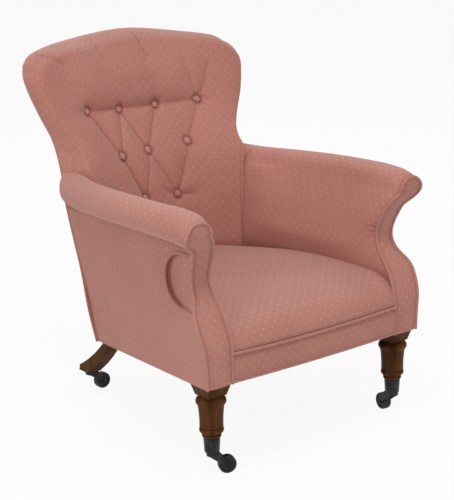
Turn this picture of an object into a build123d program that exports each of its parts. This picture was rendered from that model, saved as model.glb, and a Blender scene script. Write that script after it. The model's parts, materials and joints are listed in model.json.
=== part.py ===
from build123d import *
from collections import namedtuple
import math
import os

# A button back armchair on four casters: sizes in millimetres, +Z up, facing -Y, symmetric in X.

# Base of the upholstery
base_front_y = -312.0
base_rear_y = 192.0
base_front_half = 307.0
base_rear_half = 247.0
under_front_z = 211.0
under_rear_z = 177.0
seat_front_half = 239.0
seat_rear_half = 184.0
seat_rear_y = 173.0

# Seat
seat_edge_z = 282.0
seat_high_z = 357.0
SeatStation = namedtuple("SeatStation", "y drop crown")
seat_stations = (
    SeatStation(y=-312.0, drop=74.0, crown=1.0),
    SeatStation(y=-298.0, drop=43.0, crown=4.0),
    SeatStation(y=-268.0, drop=24.0, crown=7.0),
    SeatStation(y=-210.0, drop=10.0, crown=8.0),
    SeatStation(y=-110.0, drop=2.0, crown=9.0),
    SeatStation(y=10.0, drop=2.0, crown=9.0),
    SeatStation(y=130.0, drop=12.0, crown=8.0),
    SeatStation(y=250.0, drop=24.0, crown=6.0),
)
border_thick = 9.0
border_bow = 6.0
cord_d = 7.0

# Arms: the roll runs along Y over the outside arm panel
arm_top_z = 583.0
knee_z = 400.0
inside_arm_thick = 22.0
panel_thick = 5.0
panel_clear_out = 5.0
hollow_lean = 0.2
facing_thick = 8.0
neck_y = -254.0
neck_z = 437.0
scroll_y = -294.0
scroll_z = 552.0
shoulder_y = -292.0
shoulder_z = 352.0
scoop_r = 73.0
scoop_y = -237.0
scoop_z = 427.0
scoop_floor_x = 288.0
scoop_turn = 14.0
scoop_fill = 10.0
ArmStation = namedtuple("ArmStation", "y lean overhang roll_r top_drop crease_drop")
arm_stations = (
    ArmStation(y=-330.0, lean=-8.0, overhang=34.0, roll_r=34.0, top_drop=21.0, crease_drop=90.0),
    ArmStation(y=-250.0, lean=-4.5, overhang=43.0, roll_r=36.3, top_drop=5.0, crease_drop=82.0),
    ArmStation(y=-150.0, lean=2.0, overhang=51.0, roll_r=37.0, top_drop=0.0, crease_drop=74.0),
    ArmStation(y=-30.0, lean=10.0, overhang=52.0, roll_r=37.0, top_drop=3.0, crease_drop=69.0),
    ArmStation(y=90.0, lean=17.0, overhang=46.0, roll_r=37.5, top_drop=7.0, crease_drop=72.0),
    ArmStation(y=200.0, lean=22.0, overhang=33.0, roll_r=39.0, top_drop=12.0, crease_drop=83.0),
    ArmStation(y=310.0, lean=26.0, overhang=14.0, roll_r=42.0, top_drop=16.0, crease_drop=96.0),
)

# Back: horizontal stations from the seat to the crest
BackStation = namedtuple("BackStation", "z half front_edge_y front_mid_y rear_edge_y rear_mid_y rear_half")
back_stations = (
    BackStation(z=165.0, half=172.0, front_edge_y=150.0, front_mid_y=196.0, rear_edge_y=184.0,
                rear_mid_y=232.0, rear_half=247.0),
    BackStation(z=250.0, half=181.0, front_edge_y=160.0, front_mid_y=208.0, rear_edge_y=218.0,
                rear_mid_y=266.0, rear_half=247.0),
    BackStation(z=335.0, half=190.0, front_edge_y=172.0, front_mid_y=221.0, rear_edge_y=238.0,
                rear_mid_y=288.0, rear_half=248.0),
    BackStation(z=420.0, half=200.0, front_edge_y=188.0, front_mid_y=233.0, rear_edge_y=258.0,
                rear_mid_y=306.0, rear_half=254.0),
    BackStation(z=505.0, half=213.0, front_edge_y=203.0, front_mid_y=250.0, rear_edge_y=281.0,
                rear_mid_y=329.0, rear_half=257.0),
    BackStation(z=575.0, half=227.0, front_edge_y=219.0, front_mid_y=274.0, rear_edge_y=297.0,
                rear_mid_y=350.0, rear_half=255.0),
    BackStation(z=640.0, half=246.0, front_edge_y=243.0, front_mid_y=307.0, rear_edge_y=318.0,
                rear_mid_y=375.0, rear_half=253.0),
    BackStation(z=705.0, half=277.0, front_edge_y=268.0, front_mid_y=339.0, rear_edge_y=345.0,
                rear_mid_y=404.0, rear_half=273.0),
    BackStation(z=770.0, half=297.0, front_edge_y=293.0, front_mid_y=366.0, rear_edge_y=370.0,
                rear_mid_y=432.0, rear_half=289.0),
    BackStation(z=830.0, half=290.0, front_edge_y=317.0, front_mid_y=392.0, rear_edge_y=394.0,
                rear_mid_y=456.0, rear_half=281.0),
    BackStation(z=890.0, half=254.0, front_edge_y=341.0, front_mid_y=414.0, rear_edge_y=417.0,
                rear_mid_y=476.0, rear_half=244.0),
)
crest_top_z = 870.0
crest_drop = 31.0
crest_drop_half = 230.0
crest_round = 20.0
edge_round = 16.0
edge_soften = 0.35
back_pad_thick = 48.0
back_wrap = 16.0
hollow_behind = 20.0
outside_back_drop = 13.0

# Buttons and tufting, in rows from the top
button_d = 19.0
button_thick = 8.0
button_rows = (
    ((-165.0, 700.0), (-64.0, 691.0), (44.0, 689.0), (159.0, 690.0)),
    ((-96.0, 587.0), (-14.0, 589.0), (101.0, 597.0)),
    ((-53.0, 481.0), (43.0, 477.0)),
)
dimple_r = 34.0
dimple_depth = 15.0
button_lift = 1.7
pleat_r = 9.0
pleat_depth = 6.0
pleat_spread = 1.12

# Frame timber
rail_thick = 26.0
rail_top_z = 264.0
block_half = 25.0
stump_deep = 36.0
stump_cover = 6.0
stump_low_wide = 20.0
stump_top_wide = 12.0
stump_top_in = 34.0
brace_long = 70.0
brace_tall = 40.0
upright_wide = 26.0
upright_deep = 30.0
upright_foot_back = 12.0
upright_inset = 6.0
upright_side_gap = 1.5
upright_waist_z = 590.0
upright_flare_z = 700.0
upright_top_z = 800.0
crest_rail_z = (762.0, 830.0)
crest_rail_drop = 22.0
back_tack_z = (300.0, 335.0)
rail_front_gap = 1.5
rail_rear_in = 3.0
tack_side_out = 10.0
elbow_tall = 30.0
elbow_wide = 22.0
elbow_drop = 42.0
elbow_front_in = 15.0
tack_tall = 36.0
tack_wide = 18.0
tack_lift = 30.0
back_strap_z = (400.0, 500.0, 600.0, 700.0)
strap_side_in = 2.0

# Under the seat
cover_thick = 1.2
web_thick = 2.0
web_wide = 50.0
web_gap = 0.3
web_end_in = 4.0
web_pitch = 80.0
web_front_in = 75.0
web_rear_in = 70.0
spring_wire = 4.0
spring_r = 28.0
spring_turns = 5
spring_pitch_x = 110.0
spring_pitch_y = 120.0
spring_mid_y = -70.0
spring_foot_gap = 2.5
canvas_thick = 1.5
canvas_on_rail = 10.0
canvas_front_in = 5.0
canvas_rear_out = 40.0
cover_side_in = 2.0
cover_rear_in = 4.0

# Front leg turning
leg_ring_r = (33.5, 27.0, 21.5)
leg_ring_z = (171.0, 105.0, 92.0)
leg_ring_half = (8.0, 6.0, 4.5)
vase_low_r = 26.0
vase_waist_r = 26.4
vase_high_r = 29.0
vase_step = 2.0
vase_waist_at = 0.5
ring_bite = 0.5
leg_inset = 5.0
cove_top_half = 33.0
cove_low_half = 24.0
cove_low_z = 184.0
cove_over = 4.0

# Rear leg
rear_leg_x = 208.0
rear_block_y = 168.0
rear_leg_thick = 38.0
leg_set_back = 24.0
leg_sag = 5.0
heel_tall = 9.0
rear_block_deep = 44.0
toe_y = 322.0
toe_long = 42.0
toe_z = 57.0

# Casters
wheel_d = 40.0
wheel_wide = 18.0
axle_d = 6.0
running_gap = 0.05
wheel_side_gap = 0.5
cheek_thick = 3.5
trail = 33.0
horn_top_z = 53.5
horn_deep = 9.5
horn_gap = 0.5
pivot_d = 8.0
rivet_d = 13.0
rivet_thick = 3.0
boss_r = 12.5
cup_top_z = 86.0
cup_top_r = 18.5
cup_low_r = 16.5
cup_wall = 2.0
cup_floor = 3.0
eye_wall = 4.5
horn_back = 7.5
axle_head_thick = 1.8
axle_head_r = 4.8
wheel_round = 3.0
wheel_dish_r = 14.4
wheel_dish_deep = 1.5
front_left_turn = -22.0
front_right_turn = 83.0
rear_left_turn = 0.0
rear_right_turn = 140.0

# Clearances between sewn or fitted neighbours
seam_gap = 0.3
far = 900.0
cut_margin = 60.0
behind_reach = 430.0


def blend(a, b, t):
    return a + (b - a) * t


def under_z(y):
    return blend(under_front_z, under_rear_z, (y - base_front_y) / (base_rear_y - base_front_y))


def inner_x(y):
    return blend(seat_front_half, seat_rear_half, (y - base_front_y) / (seat_rear_y - base_front_y))


def outer_x(y):
    return blend(base_front_half, base_rear_half, (y - base_front_y) / (base_rear_y - base_front_y))


def line(a, b):
    return Edge.make_line(a, b)


def arc(a, b, c):
    return Edge.make_three_point_arc(a, b, c)


def skin(wires, ruled=False):
    return Part() + Solid.make_loft(wires, ruled)


def prism(points, tall):
    return Part() + extrude(Face(Wire.make_polygon(points)), amount=tall, dir=(0, 0, 1))


def largest(part):
    return Part() + max(part.solids(), key=lambda solid: solid.volume)


def block(x0, x1, y0, y1, z0, z1):
    return Pos((x0 + x1) / 2, (y0 + y1) / 2, (z0 + z1) / 2) * Box(x1 - x0, y1 - y0, z1 - z0)


def twin(part):
    return mirror(part, about=Plane.YZ)


nodes = {}


def keep(name, part):
    nodes[name] = part


def keep_pair(name, right):
    keep(name + "_right", right)
    keep(name + "_left", twin(right))


# The sloping underside as a plane and as a half space below it
slope = math.degrees(math.atan2(under_front_z - under_rear_z, base_rear_y - base_front_y))
under_plane = Plane(origin=(0, 0, under_z(0))).rotated((-slope, 0, 0))


def below_under(lift=0.0):
    return under_plane * Pos(0, 0, lift - far / 2) * Box(2 * far, 2 * far, far)


# Arm envelope
def arm_points(s, grow):
    roll_top = arm_top_z - s.top_drop
    crease_x = outer_x(s.y) + s.lean
    centre_x = crease_x + s.overhang - s.roll_r
    centre_z = roll_top - s.roll_r
    return centre_x, centre_z, s.roll_r + grow, crease_x + grow, arm_top_z - s.crease_drop


def arm_wire(s, grow=0.0):
    cx, cz, r, crease_x, crease_z = arm_points(s, grow)
    low = under_rear_z - cut_margin
    xi = inner_x(s.y) - grow
    xo = outer_x(s.y) + grow
    c45 = math.sqrt(0.5)
    c60 = 0.5
    s60 = math.sqrt(0.75)
    a = (xi, s.y, low)
    b = (xi, s.y, knee_z)
    c = (cx - r, s.y, cz)
    d = (cx, s.y, cz + r)
    e = (cx + r, s.y, cz)
    f = (crease_x, s.y, crease_z)
    g = (xo, s.y, rail_top_z)
    h = (xo, s.y, low)
    return Wire([
        line(a, b),
        line(b, c),
        arc(c, (cx - r * c45, s.y, cz + r * c45), d),
        arc(d, (cx + r * c45, s.y, cz + r * c45), e),
        arc(e, (cx + r * c60, s.y, cz - r * s60), f),
        line(f, g),
        line(g, h),
        line(h, a),
    ])


def arm_envelope(grow=0.0):
    return skin([arm_wire(s, grow) for s in arm_stations])


def panel_wire(s, inset, thick):
    crease_x = outer_x(s.y) + s.lean - inset
    crease_z = arm_top_z - s.crease_drop
    low = under_rear_z - cut_margin
    xo = outer_x(s.y) - inset
    return Wire.make_polygon([
        (xo, s.y, low), (xo, s.y, rail_top_z), (crease_x, s.y, crease_z), (crease_x - thick, s.y, crease_z),
        (xo - thick, s.y, rail_top_z), (xo - thick, s.y, low)])


def hollow_wire(s):
    crease_x = outer_x(s.y) + s.lean - panel_thick
    crease_z = arm_top_z - s.crease_drop
    low = under_rear_z - cut_margin
    xo = outer_x(s.y) - panel_thick
    xi = inner_x(s.y) + inside_arm_thick
    lean_in = (crease_z - knee_z) * hollow_lean
    return Wire.make_polygon([
        (xi, s.y, low), (xo, s.y, low), (xo, s.y, rail_top_z), (crease_x, s.y, crease_z),
        (xi + lean_in, s.y, crease_z), (xi, s.y, knee_z)])


def in_front(shift=0.0):
    low = (0, base_front_y + shift, under_rear_z - 2 * cut_margin)
    foot = (0, base_front_y + shift, seat_edge_z)
    shoulder = (0, shoulder_y + shift, shoulder_z)
    neck = (0, neck_y + shift, neck_z)
    scroll = (0, scroll_y + shift, scroll_z)
    curve = Edge.make_spline([foot, shoulder, neck, scroll], tangents=[(0, 0, 1), (0, 0, 1)])
    top = (0, scroll_y + shift, arm_top_z + cut_margin)
    ahead = base_front_y - 2 * cut_margin
    high_ahead = (0, ahead, top[2])
    low_ahead = (0, ahead, low[2])
    wire = Wire([
        line(low, foot), curve, line(scroll, top), line(top, high_ahead), line(high_ahead, low_ahead),
        line(low_ahead, low)])
    return Part() + extrude(Face(wire), amount=far, dir=(1, 0, 0))


scoop_place = Pos(scoop_floor_x, scoop_y, scoop_z) * Rot(0, 0, scoop_turn)
scoop = scoop_place * Pos(far / 2, 0, 0) * Rot(0, 90, 0) * Cylinder(scoop_r, far)
scoop_stuffing = scoop_place * Rot(0, 90, 0) * Cylinder(scoop_r + scoop_fill, far)


# Back envelope
def bow_y(mid_y, edge_y, half, x):
    sag = mid_y - edge_y
    radius = (half ** 2 + sag ** 2) / (2 * sag)
    return mid_y - radius + math.sqrt(radius ** 2 - x ** 2)


def rear_y(s, x):
    return bow_y(s.rear_mid_y, s.rear_edge_y, s.rear_half, x)


def back_at(z):
    for a, b in zip(back_stations, back_stations[1:]):
        if z <= b.z:
            t = (z - a.z) / (b.z - a.z)
            return BackStation(z, *[blend(p, q, t) for p, q in zip(a[1:], b[1:])])
    return back_stations[-1]


def back_wire(s, front_in=0.0, side_in=0.0, rear_in=0.0):
    half = s.half - side_in
    shoulder = half - edge_round
    full_edge = s.front_edge_y + edge_round * edge_soften
    front_edge = bow_y(s.front_mid_y, full_edge, s.half - edge_round, shoulder) + front_in
    front_mid = s.front_mid_y + front_in
    rear_edge = rear_y(s, shoulder) - rear_in
    rear_mid = s.rear_mid_y - rear_in
    side_y = (front_edge + rear_edge) / 2
    return Wire([
        arc((-shoulder, front_edge, s.z), (0, front_mid, s.z), (shoulder, front_edge, s.z)),
        arc((shoulder, front_edge, s.z), (half, side_y, s.z), (shoulder, rear_edge, s.z)),
        arc((shoulder, rear_edge, s.z), (0, rear_mid, s.z), (-shoulder, rear_edge, s.z)),
        arc((-shoulder, rear_edge, s.z), (-half, side_y, s.z), (-shoulder, front_edge, s.z)),
    ])


def crest_bound(drop=0.0):
    arch_r = (crest_drop_half ** 2 + crest_drop ** 2) / (2 * crest_drop)
    return Pos(0, 0, crest_top_z - arch_r) * Rot(90, 0, 0) * Cylinder(arch_r - drop, 2 * far)


def back_envelope(front_in=0.0, side_in=0.0, rear_in=0.0, top_drop=0.0):
    body = skin([back_wire(s, front_in, side_in, rear_in) for s in back_stations])
    return body & crest_bound(top_drop)


def back_band(z0, z1, front_in, side_in, rear_in):
    return skin([back_wire(back_at(z), front_in, side_in, rear_in) for z in (z0, z1)], ruled=True)


def rear_strip_wire(s, thick):
    near_edge = s.rear_edge_y + seam_gap
    near_mid = s.rear_mid_y + seam_gap
    left_near = (-s.rear_half, near_edge, s.z)
    right_near = (s.rear_half, near_edge, s.z)
    left_far = (-s.rear_half, near_edge + thick, s.z)
    right_far = (s.rear_half, near_edge + thick, s.z)
    return Wire([
        arc(left_near, (0, near_mid, s.z), right_near),
        line(right_near, right_far),
        arc(right_far, (0, near_mid + thick, s.z), left_far),
        line(left_far, left_near),
    ])


def behind_wire(s):
    edge = rear_y(s, behind_reach)
    return Wire([
        arc((-behind_reach, edge, s.z), (0, s.rear_mid_y, s.z), (behind_reach, edge, s.z)),
        line((behind_reach, edge, s.z), (behind_reach, far, s.z)),
        line((behind_reach, far, s.z), (-behind_reach, far, s.z)),
        line((-behind_reach, far, s.z), (-behind_reach, edge, s.z)),
    ])


behind_back = Pos(0, -seam_gap, 0) * skin([behind_wire(s) for s in back_stations])

# Heights that follow from the frame
web_lift = cover_thick + web_gap
cross_web_lift = web_lift + web_thick + web_gap
rail_lift = cross_web_lift + web_thick + web_gap
canvas_z = rail_top_z + seam_gap
seat_floor_z = canvas_z + canvas_thick + seam_gap
leg_y = base_front_y + facing_thick + leg_inset + block_half
leg_x = outer_x(leg_y + block_half) - panel_thick - seam_gap - block_half
side_angle = math.degrees(math.atan2(base_front_half - base_rear_half, base_rear_y - base_front_y))


# Front legs: a square block in the frame corner, a cove, turned rings, a vase and a tapered foot
def front_leg():
    rings = list(zip(leg_ring_r, leg_ring_z, leg_ring_half))
    floor_z = horn_top_z + horn_gap + cup_floor
    foot_low = cup_low_r - cup_wall
    foot_top = cup_top_r - cup_wall
    top, middle, low = [
        ((r - half * ring_bite, z - half), (r, z), (r - half * ring_bite, z + half)) for r, z, half in rings]
    vase_start = (vase_low_r, middle[2][1] + vase_step)
    vase_end = (vase_high_r, top[0][1] - vase_step / 2)
    vase_waist = (vase_waist_r, blend(vase_start[1], vase_end[1], vase_waist_at))

    def flat(points):
        return [(r, 0, z) for r, z in points]

    stops = flat([(0, floor_z), (foot_low, floor_z), (foot_top, cup_top_z), low[0]])
    edges = [line(a, b) for a, b in zip(stops, stops[1:])]
    edges.append(arc(*flat(low)))
    edges.append(line(*flat([low[2], middle[0]])))
    edges.append(arc(*flat(middle)))
    edges.append(line(*flat([middle[2], vase_start])))
    edges.append(arc(*flat([vase_start, vase_waist, vase_end])))
    edges.append(line(*flat([vase_end, top[0]])))
    edges.append(arc(*flat(top)))
    crown = flat([top[2], (cove_low_half, cove_low_z), (0, cove_low_z), (0, floor_z)])
    edges += [line(a, b) for a, b in zip(crown, crown[1:])]
    turning = revolve(Face(Wire(edges)), axis=Axis.Z)
    cove_top_z = under_front_z + cove_over
    cove = skin([
        Wire.make_rect(2 * cove_low_half, 2 * cove_low_half, Plane.XY.offset(cove_low_z)),
        Wire.make_rect(2 * cove_top_half, 2 * cove_top_half, Plane.XY.offset(cove_top_z))], ruled=True)
    post = block(-block_half, block_half, -block_half, block_half, cove_low_z + cove_over, rail_top_z)
    place = Pos(leg_x, leg_y, 0)
    shown = (place * cove) & below_under(-seam_gap)
    return Part() + (place * turning) + shown + (place * post)


# Rear legs: a block in the frame corner and a raked sabre foot
def rear_leg():
    half_block = rear_block_deep / 2
    half_toe = toe_long / 2
    reach = toe_y - rear_block_y
    top = rail_top_z
    hip = under_rear_z
    heel_z = toe_z + heel_tall
    a = (0, -half_block, top)
    b = (0, -half_block, hip)
    hip_front = (0, -half_block + leg_set_back, hip)
    c = (0, reach - half_toe, toe_z)
    d = (0, reach + half_toe, toe_z)
    e = (0, reach + half_toe, heel_z)
    f = (0, half_block, hip)
    g = (0, half_block, top)
    front_mid = (0, (hip_front[1] + c[1]) / 2 - leg_sag, (hip_front[2] + c[2]) / 2 - leg_sag)
    rear_mid = (0, (e[1] + f[1]) / 2 - leg_sag, (e[2] + f[2]) / 2 - leg_sag)
    wire = Wire([
        line(a, b), line(b, hip_front), arc(hip_front, front_mid, c), line(c, d), line(d, e),
        arc(e, rear_mid, f), line(f, g), line(g, a)])
    body = extrude(Face(wire), amount=rear_leg_thick / 2, dir=(1, 0, 0), both=True)
    return rear_place * (Part() + body)


rear_place = Pos(rear_leg_x, rear_block_y, 0) * Rot(0, 0, side_angle)
toe_spot = rear_place * Pos(0, toe_y - rear_block_y, 0)
right_front_leg = front_leg()
right_rear_leg = rear_leg()
keep_pair("front_leg", right_front_leg)
keep_pair("rear_leg", right_rear_leg)

# Seat frame rails
rail_cut = below_under(rail_lift)
legs = right_front_leg + twin(right_front_leg) + right_rear_leg + twin(right_rear_leg)
front_rail_y = base_front_y + border_thick + seam_gap
front_rail_half = leg_x - block_half
front_rail = block(-front_rail_half, front_rail_half, front_rail_y, front_rail_y + rail_thick,
                   under_rear_z, rail_top_z) - rail_cut
keep("front_rail", front_rail)
base_station = back_at(under_rear_z)


def rear_rail_y(x):
    return rear_y(base_station, x) - rail_rear_in - rail_thick


def bowed_bar():
    edges = []
    for inset in (0.0, rail_thick):
        ends = rear_rail_y(rear_leg_x) + inset
        edges.append(arc((-rear_leg_x, ends, 0), (0, rear_rail_y(0) + inset, 0), (rear_leg_x, ends, 0)))
    for side in (-rear_leg_x, rear_leg_x):
        near = rear_rail_y(rear_leg_x)
        edges.append(line((side, near, 0), (side, near + rail_thick, 0)))
    face = Face(Wire.combine(edges)[0])
    return Part() + extrude(face, amount=rail_top_z, dir=(0, 0, 1))


rear_rail = largest(bowed_bar() - rail_cut - legs)
keep("rear_rail", rear_rail)


def side_rail():
    y0 = leg_y + block_half
    y1 = rear_block_y
    outer = panel_thick + seam_gap
    plan = [(outer_x(y0) - outer, y0), (outer_x(y1) - outer, y1),
            (outer_x(y1) - outer - rail_thick, y1), (outer_x(y0) - outer - rail_thick, y0)]
    bar = prism([(x, y, under_rear_z) for x, y in plan], rail_top_z - under_rear_z)
    return bar - rail_cut - legs


right_side_rail = side_rail()
keep_pair("side_rail", right_side_rail)


# Corner braces glued inside the seat frame
def corner_braces():
    leg_in = leg_x - block_half
    y0 = front_rail_y + rail_thick
    x1 = outer_x(y0) - panel_thick - seam_gap - rail_thick
    z0 = rail_top_z - brace_tall
    post_y = leg_y + block_half
    front = [
        (leg_in, y0, z0), (leg_in - brace_long, y0, z0), (x1, post_y + brace_long, z0), (x1, post_y, z0)]
    xr = rear_leg_x - rear_leg_thick / 2
    x_in = xr - brace_long
    half_rail = rail_thick / 2
    yr = rear_rail_y(xr)
    rear = [(xr, yr + half_rail, z0), (x_in, rear_rail_y(x_in) + half_rail, z0), (xr, yr - brace_long, z0)]
    made = Part()
    for points in (front, rear):
        wedge = largest(prism(points, brace_tall) - legs - right_side_rail - rear_rail)
        made = made + wedge + twin(wedge)
    return made


keep("corner_braces", corner_braces())


# Back uprights stand on the rear leg blocks
def upright_joint(z):
    if z <= rail_top_z:
        return Vector(rear_leg_x, rear_block_y + upright_foot_back, z)
    s = back_at(z)
    x = s.half - back_wrap - upright_side_gap - upright_wide / 2
    return Vector(x, rear_y(s, x + upright_wide / 2) - upright_inset - upright_deep / 2, z)


upright_joints = [upright_joint(z) for z in (rail_top_z, upright_waist_z, upright_flare_z, upright_top_z)]


def upright_spot(z):
    for a, b in zip(upright_joints, upright_joints[1:]):
        if z <= b.Z:
            return a + (b - a) * ((z - a.Z) / (b.Z - a.Z))
    return upright_joints[-1]


def upright():
    wires = [Wire.make_rect(upright_wide, upright_deep, Plane(origin=p)) for p in upright_joints]
    return skin(wires, ruled=True)


right_upright = upright()
uprights = right_upright + twin(right_upright)
keep_pair("back_upright", right_upright)

frame_front_in = back_pad_thick + rail_front_gap
crest_half = upright_joints[-1].X - upright_wide / 2
crest_inner = back_envelope(frame_front_in, 0.0, rail_rear_in, crest_rail_drop)
crest_rail = crest_inner & block(-crest_half, crest_half, -far, far, *crest_rail_z)
keep("crest_rail", crest_rail - uprights)
tack_rail = largest(back_band(*back_tack_z, frame_front_in, -tack_side_out, rail_rear_in) - uprights)
keep("back_tack_rail", tack_rail)


# Arm frame: a stump on the front leg block, an elbow rail in the roll and a tacking rail
stump_y = neck_y + facing_thick + stump_cover
stump_end_y = stump_y + stump_deep
stump_x0 = inner_x(stump_y) + inside_arm_thick
elbow_z = arm_top_z - elbow_drop
elbow_front = arm_stations[1]


def roll_x(s):
    return arm_points(s, 0.0)[0]


def arm_stump():
    y = (stump_y + stump_end_y) / 2
    top_z = elbow_z - elbow_tall / 2
    low = Plane(origin=(stump_x0 + stump_low_wide / 2, y, rail_top_z))
    top = Plane(origin=(roll_x(elbow_front) - stump_top_in + stump_top_wide / 2, y, top_z))
    foot = Wire.make_rect(stump_low_wide, stump_deep, low)
    head = Wire.make_rect(stump_top_wide, stump_deep, top)
    return skin([foot, head], ruled=True)


stump = arm_stump()
keep_pair("arm_stump", stump)


def elbow_rail():
    end = upright_spot(elbow_z)
    spots = [(roll_x(elbow_front) - elbow_front_in, stump_y)]
    spots += [(roll_x(s), s.y) for s in arm_stations[-3:-1]]
    spots.append((end.X, end.Y))
    wires = []
    for x, y in spots:
        plane = Plane(origin=(x, y, elbow_z), x_dir=(1, 0, 0), z_dir=(0, -1, 0))
        wires.append(Wire.make_rect(elbow_wide, elbow_tall, plane))
    return largest(skin(wires, ruled=True) - right_upright)


elbow = elbow_rail()
keep_pair("arm_rail", elbow)


def arm_tack_rail():
    z = seat_floor_z + tack_lift
    end = upright_spot(z)
    spots = [(stump_x0 + tack_wide / 2, stump_end_y), (end.X, end.Y)]
    wires = []
    for x, y in spots:
        plane = Plane(origin=(x, y, z), x_dir=(1, 0, 0), z_dir=(0, -1, 0))
        wires.append(Wire.make_rect(tack_wide, tack_tall, plane))
    return largest(skin(wires, ruled=True) - right_upright)


arm_tack = arm_tack_rail()
keep_pair("arm_tack_rail", arm_tack)

# Webbing behind the back pad
straps = Part()
for z in back_strap_z:
    z0 = z - web_wide / 2
    z1 = z + web_wide / 2
    band = back_band(z0, z1, frame_front_in, strap_side_in, rail_rear_in)
    behind = back_band(z0 - web_thick, z1 + web_thick, frame_front_in + web_thick, -cut_margin, -cut_margin)
    straps += largest(band - behind - uprights - elbow - twin(elbow))
keep("back_webbing", straps)
frame_in_arm = right_upright + stump + elbow + arm_tack + tack_rail + straps

# Back pad with its tufts
back_full = back_envelope()
back_clear = back_envelope(-seam_gap, -seam_gap, -seam_gap, -seam_gap)
back_hollow = back_envelope(back_pad_thick, back_wrap, -hollow_behind, back_wrap)
top_edges = back_full.edges().filter_by(lambda e: e.center().Z > back_stations[-3].z)
back_round = fillet(top_edges, crest_round)


def front_y(x, z):
    s = back_at(z)
    return bow_y(s.front_mid_y, s.front_edge_y, s.half, x)


def pleat(x0, z0, x1, z1, y1):
    start = Vector(x0, front_y(x0, z0) + pleat_depth - pleat_r, z0)
    end = Vector(x1, y1 + pleat_depth - pleat_r, z1)
    return Solid.make_cylinder(pleat_r, (end - start).length, Plane(start, z_dir=end - start))


def tufted(pad):
    for row in button_rows:
        for x, z in row:
            pad = pad - Pos(x, front_y(x, z) + dimple_depth - dimple_r, z) * Sphere(dimple_r)
    for upper, lower in zip(button_rows, button_rows[1:]):
        for i, (x, z) in enumerate(lower):
            for x_up, z_up in upper[i:i + 2]:
                pad = pad - pleat(x, z, x_up, z_up, front_y(x_up, z_up))
    for x, z in button_rows[0]:
        pad = pad - pleat(x, z, x * pleat_spread, crest_top_z, front_y(x, crest_top_z))
    return pad


pad_floor = block(-far, far, -far, far, 0, seat_floor_z)
back_frame = uprights + tack_rail + elbow + twin(elbow) + straps
back_pad = largest(tufted(largest(back_round - back_hollow - pad_floor - back_frame)))
keep("back_pad", back_pad)


def button():
    dome_r = (button_d ** 2 / 4 + button_thick ** 2) / (2 * button_thick)
    cap = Pos(0, 0, button_thick - dome_r) * Sphere(dome_r)
    cap = cap & Pos(0, 0, button_thick / 2) * Box(button_d, button_d, button_thick)
    return Rot(90, 0, 0) * cap


buttons = Part()
for row in button_rows:
    for x, z in row:
        buttons += Pos(x, front_y(x, z) + dimple_depth - button_lift, z) * button()
keep("back_buttons", buttons)

outside_back = skin([rear_strip_wire(s, panel_thick) for s in back_stations])
keep("outside_back", (outside_back & crest_bound(outside_back_drop)) - below_under())

# Arms
arm_shape = arm_envelope() - in_front() - scoop - below_under() - behind_back
facing = arm_shape & in_front(facing_thick)
keep_pair("arm_facing", facing)
behind_facing = in_front(facing_thick + seam_gap)
panel = skin([panel_wire(s, 0.0, panel_thick) for s in arm_stations])
clear_thick = panel_thick + panel_clear_out + seam_gap
panel_clear = skin([panel_wire(s, -panel_clear_out, clear_thick) for s in arm_stations])
hollow = skin([hollow_wire(s) for s in arm_stations], ruled=True) - scoop_stuffing
outside_arm = panel - behind_facing - scoop - below_under() - behind_back
keep_pair("outside_arm", outside_arm)


arm_pad = largest(arm_shape - behind_facing - panel_clear - hollow - pad_floor - back_clear - frame_in_arm)
keep_pair("arm_pad", arm_pad)


# Seat pad, border and cord
def seat_wire(s):
    half = inner_x(s.y) - seam_gap
    side = seat_high_z - s.drop
    return Wire([
        line((-half, s.y, seat_floor_z), (half, s.y, seat_floor_z)),
        line((half, s.y, seat_floor_z), (half, s.y, side)),
        arc((half, s.y, side), (0, s.y, side + s.crown), (-half, s.y, side)),
        line((-half, s.y, side), (-half, s.y, seat_floor_z)),
    ])


seat_pad = largest(skin([seat_wire(s) for s in reversed(seat_stations)]) - back_clear)
keep("seat_pad", seat_pad)


def front_border():
    half = inner_x(base_front_y + border_thick) - seam_gap
    y0 = base_front_y
    y1 = base_front_y + border_thick
    z0 = under_front_z
    z1 = seat_floor_z - seam_gap
    wire = Wire([
        arc((0, y0, z0), (0, y0 - border_bow, (z0 + z1) / 2), (0, y0, z1)),
        line((0, y0, z1), (0, y1, z1)),
        line((0, y1, z1), (0, y1, z0)),
        line((0, y1, z0), (0, y0, z0)),
    ])
    return Part() + extrude(Face(wire), amount=half, dir=(1, 0, 0), both=True)


keep("front_border", front_border() - below_under())
cord_y = base_front_y - cord_d / 2 - seam_gap
cord_half = seat_front_half - seam_gap
keep("seat_front_cord", Pos(0, cord_y, seat_edge_z) * Rot(0, 90, 0) * Cylinder(cord_d / 2, 2 * cord_half))


# Seat canvas on the rails, springs, webbing and dust cover
def seat_plan(inset, y0, y1):
    front = outer_x(y0) - inset
    rear = outer_x(y1) - inset
    return [(front, y0), (rear, y1), (-rear, y1), (-front, y0)]


posts = legs + uprights + stump + twin(stump)
canvas_in = panel_thick + seam_gap + rail_thick - canvas_on_rail
canvas_plan = seat_plan(canvas_in, front_rail_y + canvas_front_in, rear_block_y + canvas_rear_out)
canvas_points = [(x, y, canvas_z) for x, y in canvas_plan]
keep("seat_canvas", largest(prism(canvas_points, canvas_thick) - posts))



def dust_cover():
    inset = panel_thick + cover_side_in
    front = outer_x(front_rail_y) - inset
    rear = outer_x(base_rear_y) - inset
    rear_end = rear_y(base_station, rear) - cover_rear_in
    rear_mid = base_station.rear_mid_y - cover_rear_in
    wire = Wire([
        line((-front, front_rail_y, 0), (front, front_rail_y, 0)),
        line((front, front_rail_y, 0), (rear, rear_end, 0)),
        arc((rear, rear_end, 0), (0, rear_mid, 0), (-rear, rear_end, 0)),
        line((-rear, rear_end, 0), (-front, front_rail_y, 0)),
    ])
    sheet = Part() + extrude(Face(wire), amount=cover_thick, dir=(0, 0, 1))
    return largest(under_plane * sheet - legs)


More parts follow.
